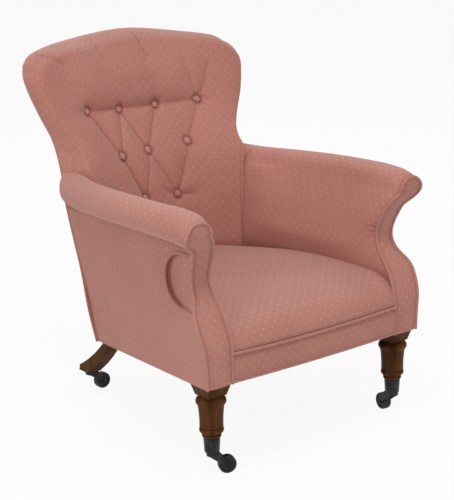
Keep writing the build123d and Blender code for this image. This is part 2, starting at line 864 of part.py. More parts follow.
keep("dust_cover", dust_cover())


def webbing():
    long_top = web_lift + web_thick
    cross_top = cross_web_lift + web_thick
    half_web = web_wide / 2
    straps = Part()
    y0 = front_rail_y + web_end_in
    y1 = rear_rail_y(2 * web_pitch) + rail_thick - web_end_in
    for i in range(4):
        x = (i - 1.5) * web_pitch
        straps += block(x - half_web, x + half_web, y0, y1, web_lift, long_top)
    for i in range(4):
        y = blend(y0 + web_front_in, y1 - web_rear_in, i / 3)
        half = outer_x(y) - panel_thick - seam_gap - web_end_in
        straps += block(-half, half, y - half_web, y + half_web, cross_web_lift, cross_top)
    return under_plane * straps - legs


keep("seat_webbing", webbing())


def spring(y):
    low = under_z(y) + rail_lift + spring_wire / 2 + spring_foot_gap
    high = canvas_z - seam_gap - spring_wire / 2
    path = Helix(pitch=(high - low) / spring_turns, height=high - low, radius=spring_r)
    coil = sweep(Plane(path @ 0, z_dir=path % 0) * Circle(spring_wire / 2), path=path)
    return Pos(0, y, low) * coil


springs = Part()
for row in range(3):
    y = (row - 1) * spring_pitch_y + spring_mid_y
    coil = spring(y)
    for column in range(3):
        springs += Pos((column - 1) * spring_pitch_x, 0, 0) * coil
keep("seat_springs", springs)


# Casters: a cup or a plate with a riveted pivot, a horn that swivels on it, an axle and a wheel
def pivot():
    top = horn_top_z + horn_gap
    low = horn_top_z - horn_deep - horn_gap
    pin = Pos(0, 0, (top + low) / 2) * Cylinder(pivot_d / 2, top - low)
    head = Pos(0, 0, low - rivet_thick / 2) * Cylinder(rivet_d / 2, rivet_thick)
    return pin + head


def cup():
    low = horn_top_z + horn_gap
    tall = cup_top_z - low
    outer = Pos(0, 0, low + tall / 2) * Cone(cup_low_r, cup_top_r, tall)
    inner_tall = tall - cup_floor
    bore = Cone(cup_low_r - cup_wall, cup_top_r - cup_wall, inner_tall)
    return outer - Pos(0, 0, cup_top_z - inner_tall / 2) * bore + pivot()


def toe_plate():
    low = horn_top_z + horn_gap
    plate = block(-rear_leg_thick / 2, rear_leg_thick / 2, -toe_long / 2, toe_long / 2, low, toe_z)
    return plate + pivot()


def horn():
    wheel_r = wheel_d / 2
    inner = wheel_wide / 2 + wheel_side_gap
    outer = inner + cheek_thick
    low = horn_top_z - horn_deep
    eye = axle_d / 2 + eye_wall
    outline = [
        (-horn_back, low), (-horn_back, horn_top_z), (boss_r, horn_top_z), (trail + eye, wheel_r),
        (trail - eye, wheel_r)]
    profile = Face(Wire.make_polygon([(x, 0, z) for x, z in outline]))
    hub = Pos(trail, 0, wheel_r) * Rot(90, 0, 0)
    body = Pos(0, 0, (horn_top_z + low) / 2) * Cylinder(boss_r, horn_deep)
    body += block(-horn_back, boss_r, -outer, outer, low, horn_top_z)
    for side in (-1, 1):
        cheek = Part() + extrude(profile, amount=cheek_thick, dir=(0, side, 0))
        cheek += Pos(0, side * cheek_thick / 2, 0) * hub * Cylinder(eye, cheek_thick)
        body += Pos(0, side * inner, 0) * cheek
    body -= hub * Cylinder(axle_d / 2, 3 * outer)
    return body - Pos(0, 0, low) * Cylinder(pivot_d / 2 + running_gap, 4 * horn_deep)


def axle():
    outer = wheel_wide / 2 + wheel_side_gap + cheek_thick
    hub = Pos(trail, 0, wheel_d / 2) * Rot(90, 0, 0)
    shaft = Cylinder(axle_d / 2, 2 * outer)
    for side in (-1, 1):
        shaft += Pos(0, 0, side * (outer + axle_head_thick / 2)) * Cylinder(axle_head_r, axle_head_thick)
    return hub * shaft


def wheel():
    hub = Pos(trail, 0, wheel_d / 2) * Rot(90, 0, 0)
    disc = Cylinder(wheel_d / 2, wheel_wide)
    disc = fillet(disc.edges(), wheel_round)
    dish = Cylinder(wheel_dish_r, 2 * wheel_dish_deep) - Cylinder(axle_d, 2 * wheel_dish_deep)
    for side in (-1, 1):
        disc -= Pos(0, 0, side * wheel_wide / 2) * dish
    return hub * (disc - Cylinder(axle_d / 2 + running_gap, wheel_wide))


left_toe = Pos(-toe_spot.position.X, toe_spot.position.Y, 0)
right_toe = Pos(toe_spot.position.X, toe_spot.position.Y, 0)
corners = {
    "front_left": (Pos(-leg_x, leg_y, 0), front_left_turn),
    "front_right": (Pos(leg_x, leg_y, 0), front_right_turn),
    "rear_left": (left_toe, rear_left_turn),
    "rear_right": (right_toe, rear_right_turn),
}
for corner, (spot, turn) in corners.items():
    swivel = spot * Rot(0, 0, turn)
    if corner.startswith("front"):
        keep("caster_cup_" + corner, spot * cup())
    else:
        keep("caster_plate_" + corner, spot * toe_plate())
    keep("caster_horn_" + corner, swivel * horn())
    keep("caster_axle_" + corner, swivel * axle())
    keep("caster_wheel_" + corner, swivel * wheel())

# Move the chair so that its origin is the middle of its footprint on the floor
boxes = [part.bounding_box() for part in nodes.values()]
front = min(box.min.Y for box in boxes)
rear = max(box.max.Y for box in boxes)
shift = -(front + rear) / 2
os.makedirs("parts", exist_ok=True)
for name, part in nodes.items():
    export_step(Pos(0, shift, 0) * part, "parts/" + name + ".step")
print("nodes", len(nodes), "shift", round(shift, 3))
for corner, (spot, turn) in corners.items():
    at = spot.position
    print(corner, "swivel", round(at.X, 3), round(at.Y + shift, 3), "turn", turn)
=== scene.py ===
import json
import math
import bpy
import numpy as np
from mathutils import Matrix, Vector


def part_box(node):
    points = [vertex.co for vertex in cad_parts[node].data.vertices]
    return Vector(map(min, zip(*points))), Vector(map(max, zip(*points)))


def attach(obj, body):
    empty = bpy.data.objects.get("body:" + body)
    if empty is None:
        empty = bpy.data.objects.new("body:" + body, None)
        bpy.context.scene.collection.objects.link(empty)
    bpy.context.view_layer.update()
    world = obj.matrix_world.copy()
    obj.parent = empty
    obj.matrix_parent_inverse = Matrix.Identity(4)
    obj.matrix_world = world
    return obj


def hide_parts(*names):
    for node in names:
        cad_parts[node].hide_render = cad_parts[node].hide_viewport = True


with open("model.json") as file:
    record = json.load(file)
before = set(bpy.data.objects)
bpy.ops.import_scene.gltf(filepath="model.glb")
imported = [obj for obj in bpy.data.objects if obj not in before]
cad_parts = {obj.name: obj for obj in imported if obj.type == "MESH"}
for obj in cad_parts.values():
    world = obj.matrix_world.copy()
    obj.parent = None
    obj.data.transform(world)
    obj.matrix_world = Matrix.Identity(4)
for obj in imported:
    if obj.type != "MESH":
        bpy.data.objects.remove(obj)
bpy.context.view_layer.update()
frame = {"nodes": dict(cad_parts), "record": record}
nodes = frame["nodes"]

# Lengths are in millimetres, in the drawing's own frame, until a mesh is made
MM = 0.001
CORD_Y = -315.8
cord_low, cord_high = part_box("seat_front_cord")
SHIFT_Y = (cord_low.y + cord_high.y) / 2 / MM - CORD_Y

# Base and seat
FRONT_Y, REAR_Y = -312.0, 192.0
FRONT_HALF, REAR_HALF = 307.0, 247.0
UNDER_FRONT, UNDER_REAR = 211.0, 177.0
TRIM_Y, TRIM_Z = FRONT_Y - 1.5, UNDER_FRONT + 4
BORDER_SAG = 3
SEAT_FRONT_HALF, SEAT_REAR_HALF, SEAT_REAR_Y = 239.0, 184.0, 173.0
PIPE_Z = 282.0
RAIL_Z = 264.0
KNEE_Z = 400.0
SEAT_Z = 345.0

# Where the padding of back and arms begins, and where the seam between them ends
PAD_LOW = 300.0
SEAM_TOP = (560, 585)

# Arms: top, where the outside meets the back, the hollow at each arm's neck, the reach over which the
# outside leaves the facing's edge, the narrowing inside the neck, and the angle at which the roll ends
ARM_TOP, ARM_REAR_X = 583.0, 250.0
SCOOP_Y, SCOOP_Z = -225.0, 428.0
SCOOP_LONG, SCOOP_TALL, SCOOP_POWER = 74.0, 62.0, 2.2
SCOOP_X, SCOOP_SLOPE = 291.5, 0.12
FACING_REACH = 22.0
NECK_TALL, NECK_LONG = 45.0, 45.0
ROLL_END = -62

# Gathers above each hollow: place and reach by height and behind the facing, pitch, depth and shade
GATHER_Z, GATHER_TALL = 450, 16.0
GATHER_IN, GATHER_LONG = 9, 14.0
GATHER_PITCH, GATHER_DEEP, GATHER_SHADE = 11.0, 1.5, 0.2

# Radii of the piping: round facings and hollows, at the base and the outside back, at the back's seams,
# and along the seat's front. Then a tube's sides, and the cloth from one side to the next in radii
PIPE_R, TRIM_R, SEAM_R, CORD_R = 3.4, 2.8, 3.0, 3.6
PIPE_SIDES, PIPE_STEP = 10, 0.6

# Tufting: depth and reach of the creases and of the dimples, a dimple's flat, the swell above the top row,
# the painted shade along a crease and round a button, and what each step of shallowness takes away
CREASE_DEEP, CREASE_REACH = 9.5, 17.0
DIMPLE_DEEP, DIMPLE_REACH = 5.0, 15.0
DIMPLE_R = 6.0
SWELL_DEEP, SWELL_TALL = 20.0, 168.0
CREASE_LINE, CREASE_SHADE = 2.2, 0.62
RING_R, RING_LINE, RING_SHADE = 9.5, 4.5, 0.75
SHALLOW_STEP, SHALLOW_FADE = 2.2, 0.06

# Covered buttons: radius, height of the dome, and how far they sit behind the untufted back
BUTTON_R, BUTTON_RISE, BUTTON_SINK = 8.9, 7.5, 13.0

# Places of the buttons, (x, z), in rows from the top
HIGH_ROW = ((-165, 700), (-64, 691), (44, 689), (159, 690))
MID_ROW = ((-96, 587), (-14, 589), (101, 597))
LOW_ROW = ((-53, 481), (43, 477))
BUTTONS = HIGH_ROW + MID_ROW + LOW_ROW


def smooth(knots, values, ends=None):
    """A smooth curve through the knots, as a function on arrays."""
    k, v = np.array(knots, float), np.array(values, float)
    m = np.gradient(v, k)
    if ends is not None:
        m[0], m[-1] = ends

    def curve(x):
        x = np.clip(np.asarray(x, float), k[0], k[-1])
        i = np.clip(np.searchsorted(k, x) - 1, 0, len(k) - 2)
        h = k[i + 1] - k[i]
        t = (x - k[i]) / h
        a = (2 * t ** 3 - 3 * t ** 2 + 1) * v[i] + (t ** 3 - 2 * t ** 2 + t) * h * m[i]
        return a + (3 * t ** 2 - 2 * t ** 3) * v[i + 1] + (t ** 3 - t ** 2) * h * m[i + 1]

    return curve


def step(x, low, high):
    """Nothing under the low value, rising smoothly to one at the high one."""
    t = np.clip((x - low) / (high - low), 0, 1)
    return t * t * (3 - 2 * t)


def below(x, low, high):
    """One under the low value, falling smoothly to nothing at the high one."""
    return step(-x, -high, -low)


def under_z(y):
    return UNDER_FRONT + (UNDER_REAR - UNDER_FRONT) * (y - FRONT_Y) / (REAR_Y - FRONT_Y)


def inner_x(y):
    return SEAT_FRONT_HALF + (SEAT_REAR_HALF - SEAT_FRONT_HALF) * (y - FRONT_Y) / (SEAT_REAR_Y - FRONT_Y)


def outer_x(y):
    return FRONT_HALF + (REAR_HALF - FRONT_HALF) * (y - FRONT_Y) / (REAR_Y - FRONT_Y)


# The arms by depth: lean, overhang, radius of the roll, drop of its top, and the crease below it
ARM_Y = (-330, -250, -150, -30, 90, 200, 310)
arm_lean = smooth(ARM_Y, (-8, -4.5, 2, 10, 17, 22, 26))
arm_over = smooth(ARM_Y, (34, 43, 51, 52, 46, 33, 14))
arm_r = smooth((-330, -300, -285, -268, -240, -150, -30, 90, 200, 310),
               (25, 31, 34, 37.5, 38, 37, 37, 37.5, 39, 42))
arm_drop = smooth((-330, -305, -292, -280, -262, -230, -150, -30, 90, 200, 310),
                  (27, 20, 10, 3, -3, -6, -5, -1, 5, 10, 6))
arm_crease = smooth(ARM_Y, (90, 82, 74, 69, 72, 83, 96))

# The facings by height: how far forward they stand, and their outer edge
FACING_TOP_Y = -294.0
face_y = smooth((PIPE_Z, 350, 425, 500, 552), (FRONT_Y, -291, -244, -266, FACING_TOP_Y), ends=(0, 0))
facing_outer = smooth((211, 254, 283, 310, 335, 354, 368, 379, 391, 406, 425, 445, 466, 482, 497),
                      (306, 308, 310.5, 314, 316, 316, 313, 306, 298, 293, 291, 291.5, 294, 297, 301))

# The back by height: half widths, and front and rear at the edge and in the middle
BACK_Z = (165, 250, 335, 420, 505, 575, 640, 705, 770, 830, 890)
back_half = smooth(BACK_Z, (172, 181, 190, 200, 213, 227, 246, 277, 297, 290, 254))
front_edge = smooth(BACK_Z, (150, 160, 172, 188, 203, 219, 243, 268, 293, 317, 341))
front_mid = smooth(BACK_Z, (196, 208, 221, 233, 250, 274, 307, 339, 366, 392, 414))
rear_edge = smooth(BACK_Z, (184, 218, 238, 258, 281, 297, 318, 345, 370, 394, 417))
rear_mid = smooth(BACK_Z, (232, 266, 288, 306, 329, 350, 375, 404, 432, 456, 476))
rear_half = smooth(BACK_Z, (247, 247, 248, 254, 257, 255, 253, 273, 289, 281, 244))

# Widths that don't narrow towards the crest, for the padding's edge and the outside back, and how much
# fuller the stuffing is on the left and on the right
wide_half = smooth(BACK_Z, (172, 181, 190, 200, 213, 227, 246, 277, 297, 300, 300))
wide_rear = smooth(BACK_Z, (248, 248, 249, 255, 258, 256, 262, 277, 291, 297, 297))
FULL_LEFT, FULL_RIGHT = 8, 14

# Top and radius of the crest
CREST_TOP, CREST_R = 870.0, 868.7

# First guesses, from which places that depend on each other are found in rounds
BACK_START_X = 250.0
ARM_START_Z = 350.0

# The back's rolled edge: where it comes free of the arms, how far the flat front stays inside it and
# below the crest, how much it rises to the rear, its fullness, and how the front eases into it
FREE_Z = (562, 655)
EDGE_INSET, EDGE_DROP, EDGE_RISE, EDGE_FULL = 23, 26, 14, 15
EASE_DEEP, EASE_WIDE = 14, 60


def bow(mid, edge, half, x):
    """Depth at x on an arc from the middle to the edges."""
    sag = mid - edge
    radius = (half ** 2 + sag ** 2) / (2 * sag)
    return mid - radius + np.sqrt(np.maximum(radius ** 2 - x ** 2, 1))


def back_front(x, z):
    return bow(front_mid(z), front_edge(z), back_half(z), x)


def back_rear(x, z):
    return bow(rear_mid(z), rear_edge(z), rear_half(z), x)


def crest_z(x):
    return CREST_TOP - CREST_R + np.sqrt(np.maximum(CREST_R ** 2 - x ** 2, 1))


def seen_half(z, s):
    """Half the back's width: the stuffing is a little fuller on the right."""
    more = np.where(s < 0, FULL_LEFT, FULL_RIGHT) * step(z, 575, 650) * (1 - 0.6 * step(z, 785, 835))
    return wide_half(z) + 6 * below(z, 575, 605) + more


def seen_crest(x):
    """The crest's height: raised towards both ends, with a shallow dip left of the middle."""
    rise = 17 * np.where(x < 0, step(-x, 105, 310), step(x, 60, 310)) - 9 * step(x, 50, 210)
    return crest_z(x) + rise - 3 * np.exp(-((x + 60) / 70.0) ** 2)


def rounding(s, t, t0):
    """How much a point of the back moves in at the rounded top corners."""
    a = np.clip((np.abs(s) - 0.86) / 0.14, 0, 1)
    b = np.clip((t - t0) / (1 - t0), 0, 1)
    return 9 * (a * b) ** 2


def link(data, name):
    obj = bpy.data.objects.new(name, data)
    bpy.context.scene.collection.objects.link(obj)
    return obj


def to_frame(points):
    moved = np.array(points, float).reshape(-1, 3)
    moved[:, 1] += SHIFT_Y
    return moved * MM


def cloth_mesh(name, points, faces, uv, painted_shade):
    """A smooth surface with lengths along the cloth as its UV, and how much painted shade each point takes.
    """
    mesh = bpy.data.meshes.new(name)
    mesh.from_pydata(to_frame(points).tolist(), [], faces)
    corner = np.zeros(len(mesh.loops), np.int32)
    mesh.loops.foreach_get("vertex_index", corner)
    layer = mesh.uv_layers.new(name="cloth")
    layer.data.foreach_set("uv", uv[corner].astype(np.float32).ravel())
    shade = mesh.attributes.new("painted_shade", "FLOAT", "POINT")
    shade.data.foreach_set("value", painted_shade.astype(np.float32))
    mesh.polygons.foreach_set("use_smooth", np.ones(len(mesh.polygons), bool))
    return link(mesh, name)


def lengths(points, axis, start):
    """Distance along a grid's rows or columns from a starting index."""
    gaps = np.linalg.norm(np.diff(points, axis=axis), axis=2)
    total = np.cumsum(gaps, axis=axis)
    pad = [(0, 0), (0, 0)]
    pad[axis] = (1, 0)
    total = np.pad(total, pad)
    return total - np.take(total, [start], axis=axis)


def grid(name, points, outward, painted_shade, shell, origin=None):
    """A cloth surface from a grid of points, turned outward, with a thickness behind it."""
    rows, cols = points.shape[:2]
    i0, j0 = origin or (0, cols // 2)
    uv = np.stack([lengths(points, 1, j0).ravel(), lengths(points, 0, i0).ravel()], axis=1) * MM
    index = np.arange(rows * cols).reshape(rows, cols)
    quads = np.stack([index[:-1, :-1], index[:-1, 1:], index[1:, 1:], index[1:, :-1]], axis=-1)
    quads = quads.reshape(-1, 4)
    flat = points.reshape(-1, 3)
    normal = np.cross(flat[quads[:, 2]] - flat[quads[:, 0]], flat[quads[:, 3]] - flat[quads[:, 1]])
    if (normal * outward(flat[quads].mean(1))).sum() < 0:
        quads = quads[:, ::-1]
    obj = cloth_mesh(name, points, quads.tolist(), uv, painted_shade.ravel())
    thick = obj.modifiers.new("shell", "SOLIDIFY")
    thick.thickness = shell * MM
    thick.offset = -1
    return obj


def ring_faces(rings, sides, start=0):
    """Faces of a tube of rings, closed at both ends."""
    faces = []
    for i in range(rings - 1):
        low = start + i * sides
        high = low + sides
        for j in range(sides):
            k = (j + 1) % sides
            faces.append((low + j, low + k, high + k, high + j))
    last = start + (rings - 1) * sides
    faces.append(tuple(start + j for j in range(sides))[::-1])
    faces.append(tuple(last + j for j in range(sides)))
    return faces


def run_along(path):
    """Distance along a path at each of its points."""
    return np.concatenate([[0], np.cumsum(np.linalg.norm(np.diff(path, axis=0), axis=1))])


def tube(name, path, radius, painted_shade):
    """A piped edge along a path."""
    p = np.array(path, float)
    t = np.gradient(p, axis=0)
    t /= np.linalg.norm(t, axis=1)[:, None]
    n = np.cross(t[0], (0.3, 0.5, 0.81))
    angle = np.linspace(0, 2 * math.pi, PIPE_SIDES, endpoint=False)
    rings = []
    for a, d in zip(p, t):
        n = n - d * (n @ d)
        n /= np.linalg.norm(n)
        b = np.cross(d, n)
        rings.append(a + radius * (np.cos(angle)[:, None] * n + np.sin(angle)[:, None] * b))
    ring, place = np.divmod(np.arange(len(p) * PIPE_SIDES), PIPE_SIDES)
    uv = np.stack([run_along(p)[ring] * MM, place * radius * PIPE_STEP * MM], axis=1)
    # Every tube takes one even amount of painted shade
    return cloth_mesh(name, rings, ring_faces(len(p), PIPE_SIDES), uv, np.full(len(uv), painted_shade))


def even(path, gap):
    """The path with evenly spaced points."""
    p = np.array(path, float)
    run = run_along(p)
    at = np.linspace(0, run[-1], max(3, int(run[-1] / gap)))
    return np.stack([np.interp(at, run, p[:, i]) for i in range(3)], axis=1)


def soften(values, passes):
    for _ in range(passes):
        values[1:-1] = (values[:-2] + 2 * values[1:-1] + values[2:]) / 4
    return values


def sign_of(side):
    return -1 if side == "left" else 1


def on_side(points, side):
    """The points of the right side, or their mirror image on the left."""
    turned = np.array(points, float)
    turned[..., 0] *= sign_of(side)
    return turned


def one_way(x, y, z):
    """One outward direction for a whole surface."""
    return lambda m: np.tile((x, y, z), (len(m), 1))


# Materials


def shader(name):
    material = bpy.data.materials.new(name)
    material.use_nodes = True
    tree = material.node_tree
    return material, tree, tree.nodes["Principled BSDF"]


def node(tree, kind, **values):
    made = tree.nodes.new(kind)
    for key, value in values.items():
        setattr(made, key, value)
    return made


def math_node(tree, operation, a, b):
    made = node(tree, "ShaderNodeMath", operation=operation)
    for socket, value in zip(made.inputs, (a, b)):
        if isinstance(value, (int, float)):
            socket.default_value = value
        else:
            tree.links.new(value, socket)
    return made.outputs[0]


def mix_colour(tree, factor, a, b, blend="MIX"):
    made = node(tree, "ShaderNodeMix", data_type="RGBA", blend_type=blend)
    for socket, value in ((made.inputs[0], factor), (made.inputs[6], a), (made.inputs[7], b)):
        if isinstance(value, (int, float)):
            socket.default_value = value
        elif isinstance(value, tuple):
            socket.default_value = (*value, 1)
        else:
            tree.links.new(value, socket)
    return made.outputs[2]


def noise(tree, vector, scale, detail=3.0, rough=0.5):
    made = node(tree, "ShaderNodeTexNoise")
    made.inputs["Scale"].default_value = scale
    made.inputs["Detail"].default_value = detail
    made.inputs["Roughness"].default_value = rough
    tree.links.new(vector, made.inputs["Vector"])
    return made.outputs["Fac"]


def ramp(tree, value, stops):
    made = node(tree, "ShaderNodeValToRGB")
    while len(made.color_ramp.elements) < len(stops):
        made.color_ramp.elements.new(0.5)
    for element, (place, colour) in zip(made.color_ramp.elements, stops):
        element.position = place
        element.color = (*colour, 1)
    tree.links.new(value, made.inputs[0])
    return made.outputs[0]


def object_space(tree):
    return node(tree, "ShaderNodeTexCoord").outputs["Object"]


def scaled(tree, vector, scale, turn=0.0):
    made = node(tree, "ShaderNodeMapping")
    made.inputs["Rotation"].default_value = (0, 0, turn)
    made.inputs["Scale"].default_value = scale
    tree.links.new(vector, made.inputs["Vector"])
    return made.outputs[0]


def checker(tree, vector, scale, a, b):
    made = node(tree, "ShaderNodeTexChecker")
    made.inputs["Scale"].default_value = scale
    made.inputs["Color1"].default_value = (*a, 1)
    made.inputs["Color2"].default_value = (*b, 1)
    tree.links.new(vector, made.inputs["Vector"])
    return made


def map_range(tree, value, source, target, kind="LINEAR"):
    made = node(tree, "ShaderNodeMapRange", interpolation_type=kind)
    made.inputs["From Min"].default_value = source[0]
    made.inputs["From Max"].default_value = source[1]
    made.inputs["To Min"].default_value = target[0]
    made.inputs["To Max"].default_value = target[1]
    tree.links.new(value, made.inputs["Value"])
    return made.outputs[0]


def bump(tree, bsdf, height, strength, distance):
    made = node(tree, "ShaderNodeBump")
    made.inputs["Strength"].default_value = strength
    made.inputs["Distance"].default_value = distance
    tree.links.new(height, made.inputs["Height"])
    tree.links.new(made.outputs[0], bsdf.inputs["Normal"])


# The rose cloth in metres and its colours: ground, thick threads, painted sheen on faces that look up (with
# some wear there), dots, and painted shade in folds, seams and edges
DOT_PITCH = 0.0172
THREAD = 0.0011
ROSE_DEEP, ROSE_LIGHT = (0.405, 0.158, 0.122), (0.462, 0.192, 0.152)
SLUB_ROSE, SHEEN_AND_WEAR_ROSE = (0.53, 0.25, 0.205), (0.46, 0.25, 0.205)
DOT_ROSE, PAINTED_SHADE_ROSE = (0.72, 0.43, 0.36), (0.20, 0.045, 0.035)


def rose_cloth():
    material, tree, bsdf = shader("rose_cloth")
    uv = node(tree, "ShaderNodeUVMap", uv_map="cloth").outputs[0]
    turned = scaled(tree, uv, (1 / DOT_PITCH, 1 / DOT_PITCH, 1), math.radians(45))
    cell = node(tree, "ShaderNodeVectorMath", operation="FRACTION")
    tree.links.new(turned, cell.inputs[0])
    middle = node(tree, "ShaderNodeVectorMath", operation="DISTANCE")
    tree.links.new(cell.outputs[0], middle.inputs[0])
    middle.inputs[1].default_value = (0.5, 0.5, 0)
    wobble = noise(tree, uv, 420, 2)
    reach = math_node(tree, "ADD", middle.outputs["Value"], math_node(tree, "MULTIPLY", wobble, 0.10))
    dot = map_range(tree, reach, (0.25, 0.14), (0, 1), "SMOOTHSTEP")
    threads = scaled(tree, uv, (1 / THREAD, 1 / THREAD, 1))
    weave = checker(tree, threads, 1.0, (1, 1, 1), (0.72, 0.72, 0.72))
    slub = noise(tree, uv, 260, 3)
    worn = noise(tree, object_space(tree), 5.0, 4)
    base = ramp(tree, worn, ((0.3, ROSE_DEEP), (0.7, ROSE_LIGHT)))
    base = mix_colour(tree, math_node(tree, "MULTIPLY", slub, 0.35), base, SLUB_ROSE)
    # Painted sheen, with some wear: faces that look up are made lighter and greyer as if lit from above, and
    # their dots show more
    facing_up = node(tree, "ShaderNodeSeparateXYZ")
    tree.links.new(node(tree, "ShaderNodeNewGeometry").outputs["Normal"], facing_up.inputs[0])
    sheen_and_wear = map_range(tree, facing_up.outputs["Z"], (0.45, 1.0), (0, 0.30), "SMOOTHSTEP")
    base = mix_colour(tree, sheen_and_wear, base, SHEEN_AND_WEAR_ROSE)
    clear = math_node(tree, "ADD", math_node(tree, "MULTIPLY", sheen_and_wear, 0.4), 0.22)
    base = mix_colour(tree, math_node(tree, "MULTIPLY", dot, clear), base, DOT_ROSE)
    # Painted shade: the cloth darkens by each mesh's stored value, set in folds, seams, edges and under
    # rolls
    painted_shade = node(tree, "ShaderNodeAttribute", attribute_name="painted_shade").outputs["Fac"]
    base = mix_colour(tree, painted_shade, base, PAINTED_SHADE_ROSE)
    base = mix_colour(tree, 0.25, base, weave.outputs["Color"], "MULTIPLY")
    tree.links.new(base, bsdf.inputs["Base Color"])
    bsdf.inputs["Roughness"].default_value = 0.85
    bsdf.inputs["Sheen Weight"].default_value = 0.35
    bsdf.inputs["Sheen Roughness"].default_value = 0.45
    bsdf.inputs["Sheen Tint"].default_value = (0.95, 0.80, 0.76, 1)
    bsdf.inputs["Specular IOR Level"].default_value = 0.2
    height = math_node(tree, "ADD", weave.outputs["Fac"], math_node(tree, "MULTIPLY", slub, 1.5))
    height = math_node(tree, "ADD", height, math_node(tree, "MULTIPLY", dot, 0.8))
    bump(tree, bsdf, height, 0.35, 0.0004)
    return material


def wood(name, dark, pale, roughness, coat, scale, shine):
    material, tree, bsdf = shader(name)
    place = scaled(tree, object_space(tree), scale)
    grain = noise(tree, place, 9.0, 6, 0.62)
    pores = noise(tree, place, 60.0, 3)
    base = ramp(tree, grain, ((0.32, dark), (0.68, pale)))
    base = mix_colour(tree, math_node(tree, "MULTIPLY", pores, 0.35), base, dark)
    tree.links.new(base, bsdf.inputs["Base Color"])
    bsdf.inputs["Roughness"].default_value = roughness
    bsdf.inputs["Specular IOR Level"].default_value = shine
    bsdf.inputs["Coat Weight"].default_value = coat
    bsdf.inputs["Coat Roughness"].default_value = 0.12
    bump(tree, bsdf, pores, 0.15, 0.0003)
    return material


def metal(name, dark, pale, roughness, metallic):
    material, tree, bsdf = shader(name)
    place = object_space(tree)
    worn = noise(tree, place, 70.0, 5, 0.6)
    fine = noise(tree, place, 900.0, 2)
    base = ramp(tree, worn, ((0.40, dark), (0.75, pale)))
    tree.links.new(base, bsdf.inputs["Base Color"])
    bsdf.inputs["Metallic"].default_value = metallic
    rough = map_range(tree, worn, (0, 1), (roughness - 0.1, roughness + 0.15))
    tree.links.new(rough, bsdf.inputs["Roughness"])
    bump(tree, bsdf, fine, 0.12, 0.0003)
    return material


def plain_cloth(name, dark, pale, thread):
    material, tree, bsdf = shader(name)
    place = object_space(tree)
    weave = checker(tree, place, 1 / thread, dark, pale)
    slub = noise(tree, place, 180.0, 4)
    base = mix_colour(tree, math_node(tree, "MULTIPLY", slub, 0.6), weave.outputs["Color"], dark)
    tree.links.new(base, bsdf.inputs["Base Color"])
    bsdf.inputs["Roughness"].default_value = 0.95
    bump(tree, bsdf, slub, 0.3, 0.0006)
    return material


cloth = rose_cloth()
looks = {
    "polished_walnut": wood("walnut", (0.034, 0.011, 0.003), (0.165, 0.061, 0.014), 0.45, 0.02,
                            (3.0, 3.0, 0.5), 0.06),
    "frame_beech": wood("beech", (0.40, 0.26, 0.14), (0.62, 0.45, 0.28), 0.65, 0.0, (2.0, 2.0, 2.0), 0.14),
    "caster_iron": metal("iron", (0.010, 0.010, 0.010), (0.048, 0.045, 0.042), 0.42, 0.6),
    "caster_wheel": metal("wheel_iron", (0.009, 0.009, 0.009), (0.036, 0.033, 0.031), 0.5, 0.4),
    "spring_steel": metal("spring", (0.25, 0.23, 0.21), (0.50, 0.48, 0.45), 0.4, 0.9),
    "jute_webbing": plain_cloth("jute", (0.36, 0.26, 0.14), (0.56, 0.43, 0.25), 0.0022),
    "canvas": plain_cloth("hessian", (0.46, 0.38, 0.26), (0.66, 0.58, 0.43), 0.0015),
    "dust_cloth": plain_cloth("lining", (0.020, 0.020, 0.021), (0.045, 0.045, 0.047), 0.0012),
}
# A darker copy of the walnut with less shine for the rear legs: painted shade
shaded_rear_walnut = wood("shaded_rear_walnut", (0.030, 0.011, 0.002), (0.140, 0.053, 0.009), 0.55, 0.0,
                   (3.0, 3.0, 0.5), 0.04)
for entry in frame["record"]["subparts"]:
    look = looks.get(entry["material_slot"])
    if entry["node"].startswith("rear_leg"):
        look = shaded_rear_walnut
    if look:
        mesh = nodes[entry["node"]].data
        mesh.materials.clear()
        mesh.materials.append(look)


def dress(obj, replaced=(), look=cloth):
    """Gives a piece its cloth and its body, and hides the parts it stands in for."""
    obj.data.materials.append(look)
    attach(obj, "frame")
    if replaced:
        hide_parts(*replaced)


# Back: creases between buttons, outward from buttons and below the crest, and how shallow each one is
CREASES = (
    (HIGH_ROW[0], MID_ROW[0], -1), (HIGH_ROW[1], MID_ROW[0], 1), (HIGH_ROW[1], MID_ROW[1], 0),
    (HIGH_ROW[2], MID_ROW[1], 1), (HIGH_ROW[3], MID_ROW[2], 2), (MID_ROW[0], LOW_ROW[0], -3),
    (MID_ROW[1], LOW_ROW[0], 2), (MID_ROW[1], LOW_ROW[1], 1), (MID_ROW[2], LOW_ROW[1], 2),
    ((-200, 702), HIGH_ROW[0], 7), (HIGH_ROW[0], HIGH_ROW[1], 3), (HIGH_ROW[1], HIGH_ROW[2], 4),
    (HIGH_ROW[2], HIGH_ROW[3], 6), ((163, 697), (212, 772), 2), ((153, 697), (143, 780), 4),
    (HIGH_ROW[2], (44, 752), 5), ((52, 806), (38, 850), 0), ((-80, 812), (-94, 850), 3),
    ((-206, 815), (-236, 833), 1), ((-236, 833), (-280, 846), 0), (LOW_ROW[1], (84, 474), 1),
    (LOW_ROW[1], (16, 488), 1), (LOW_ROW[1], (69, 531), 0),
)


def segment_distance(x, z, a, b):
    ax, az = a
    dx, dz = b[0] - ax, b[1] - az
    t = np.clip(((x - ax) * dx + (z - az) * dz) / (dx * dx + dz * dz), 0, 1)
    return np.hypot(x - ax - t * dx, z - az - t * dz)


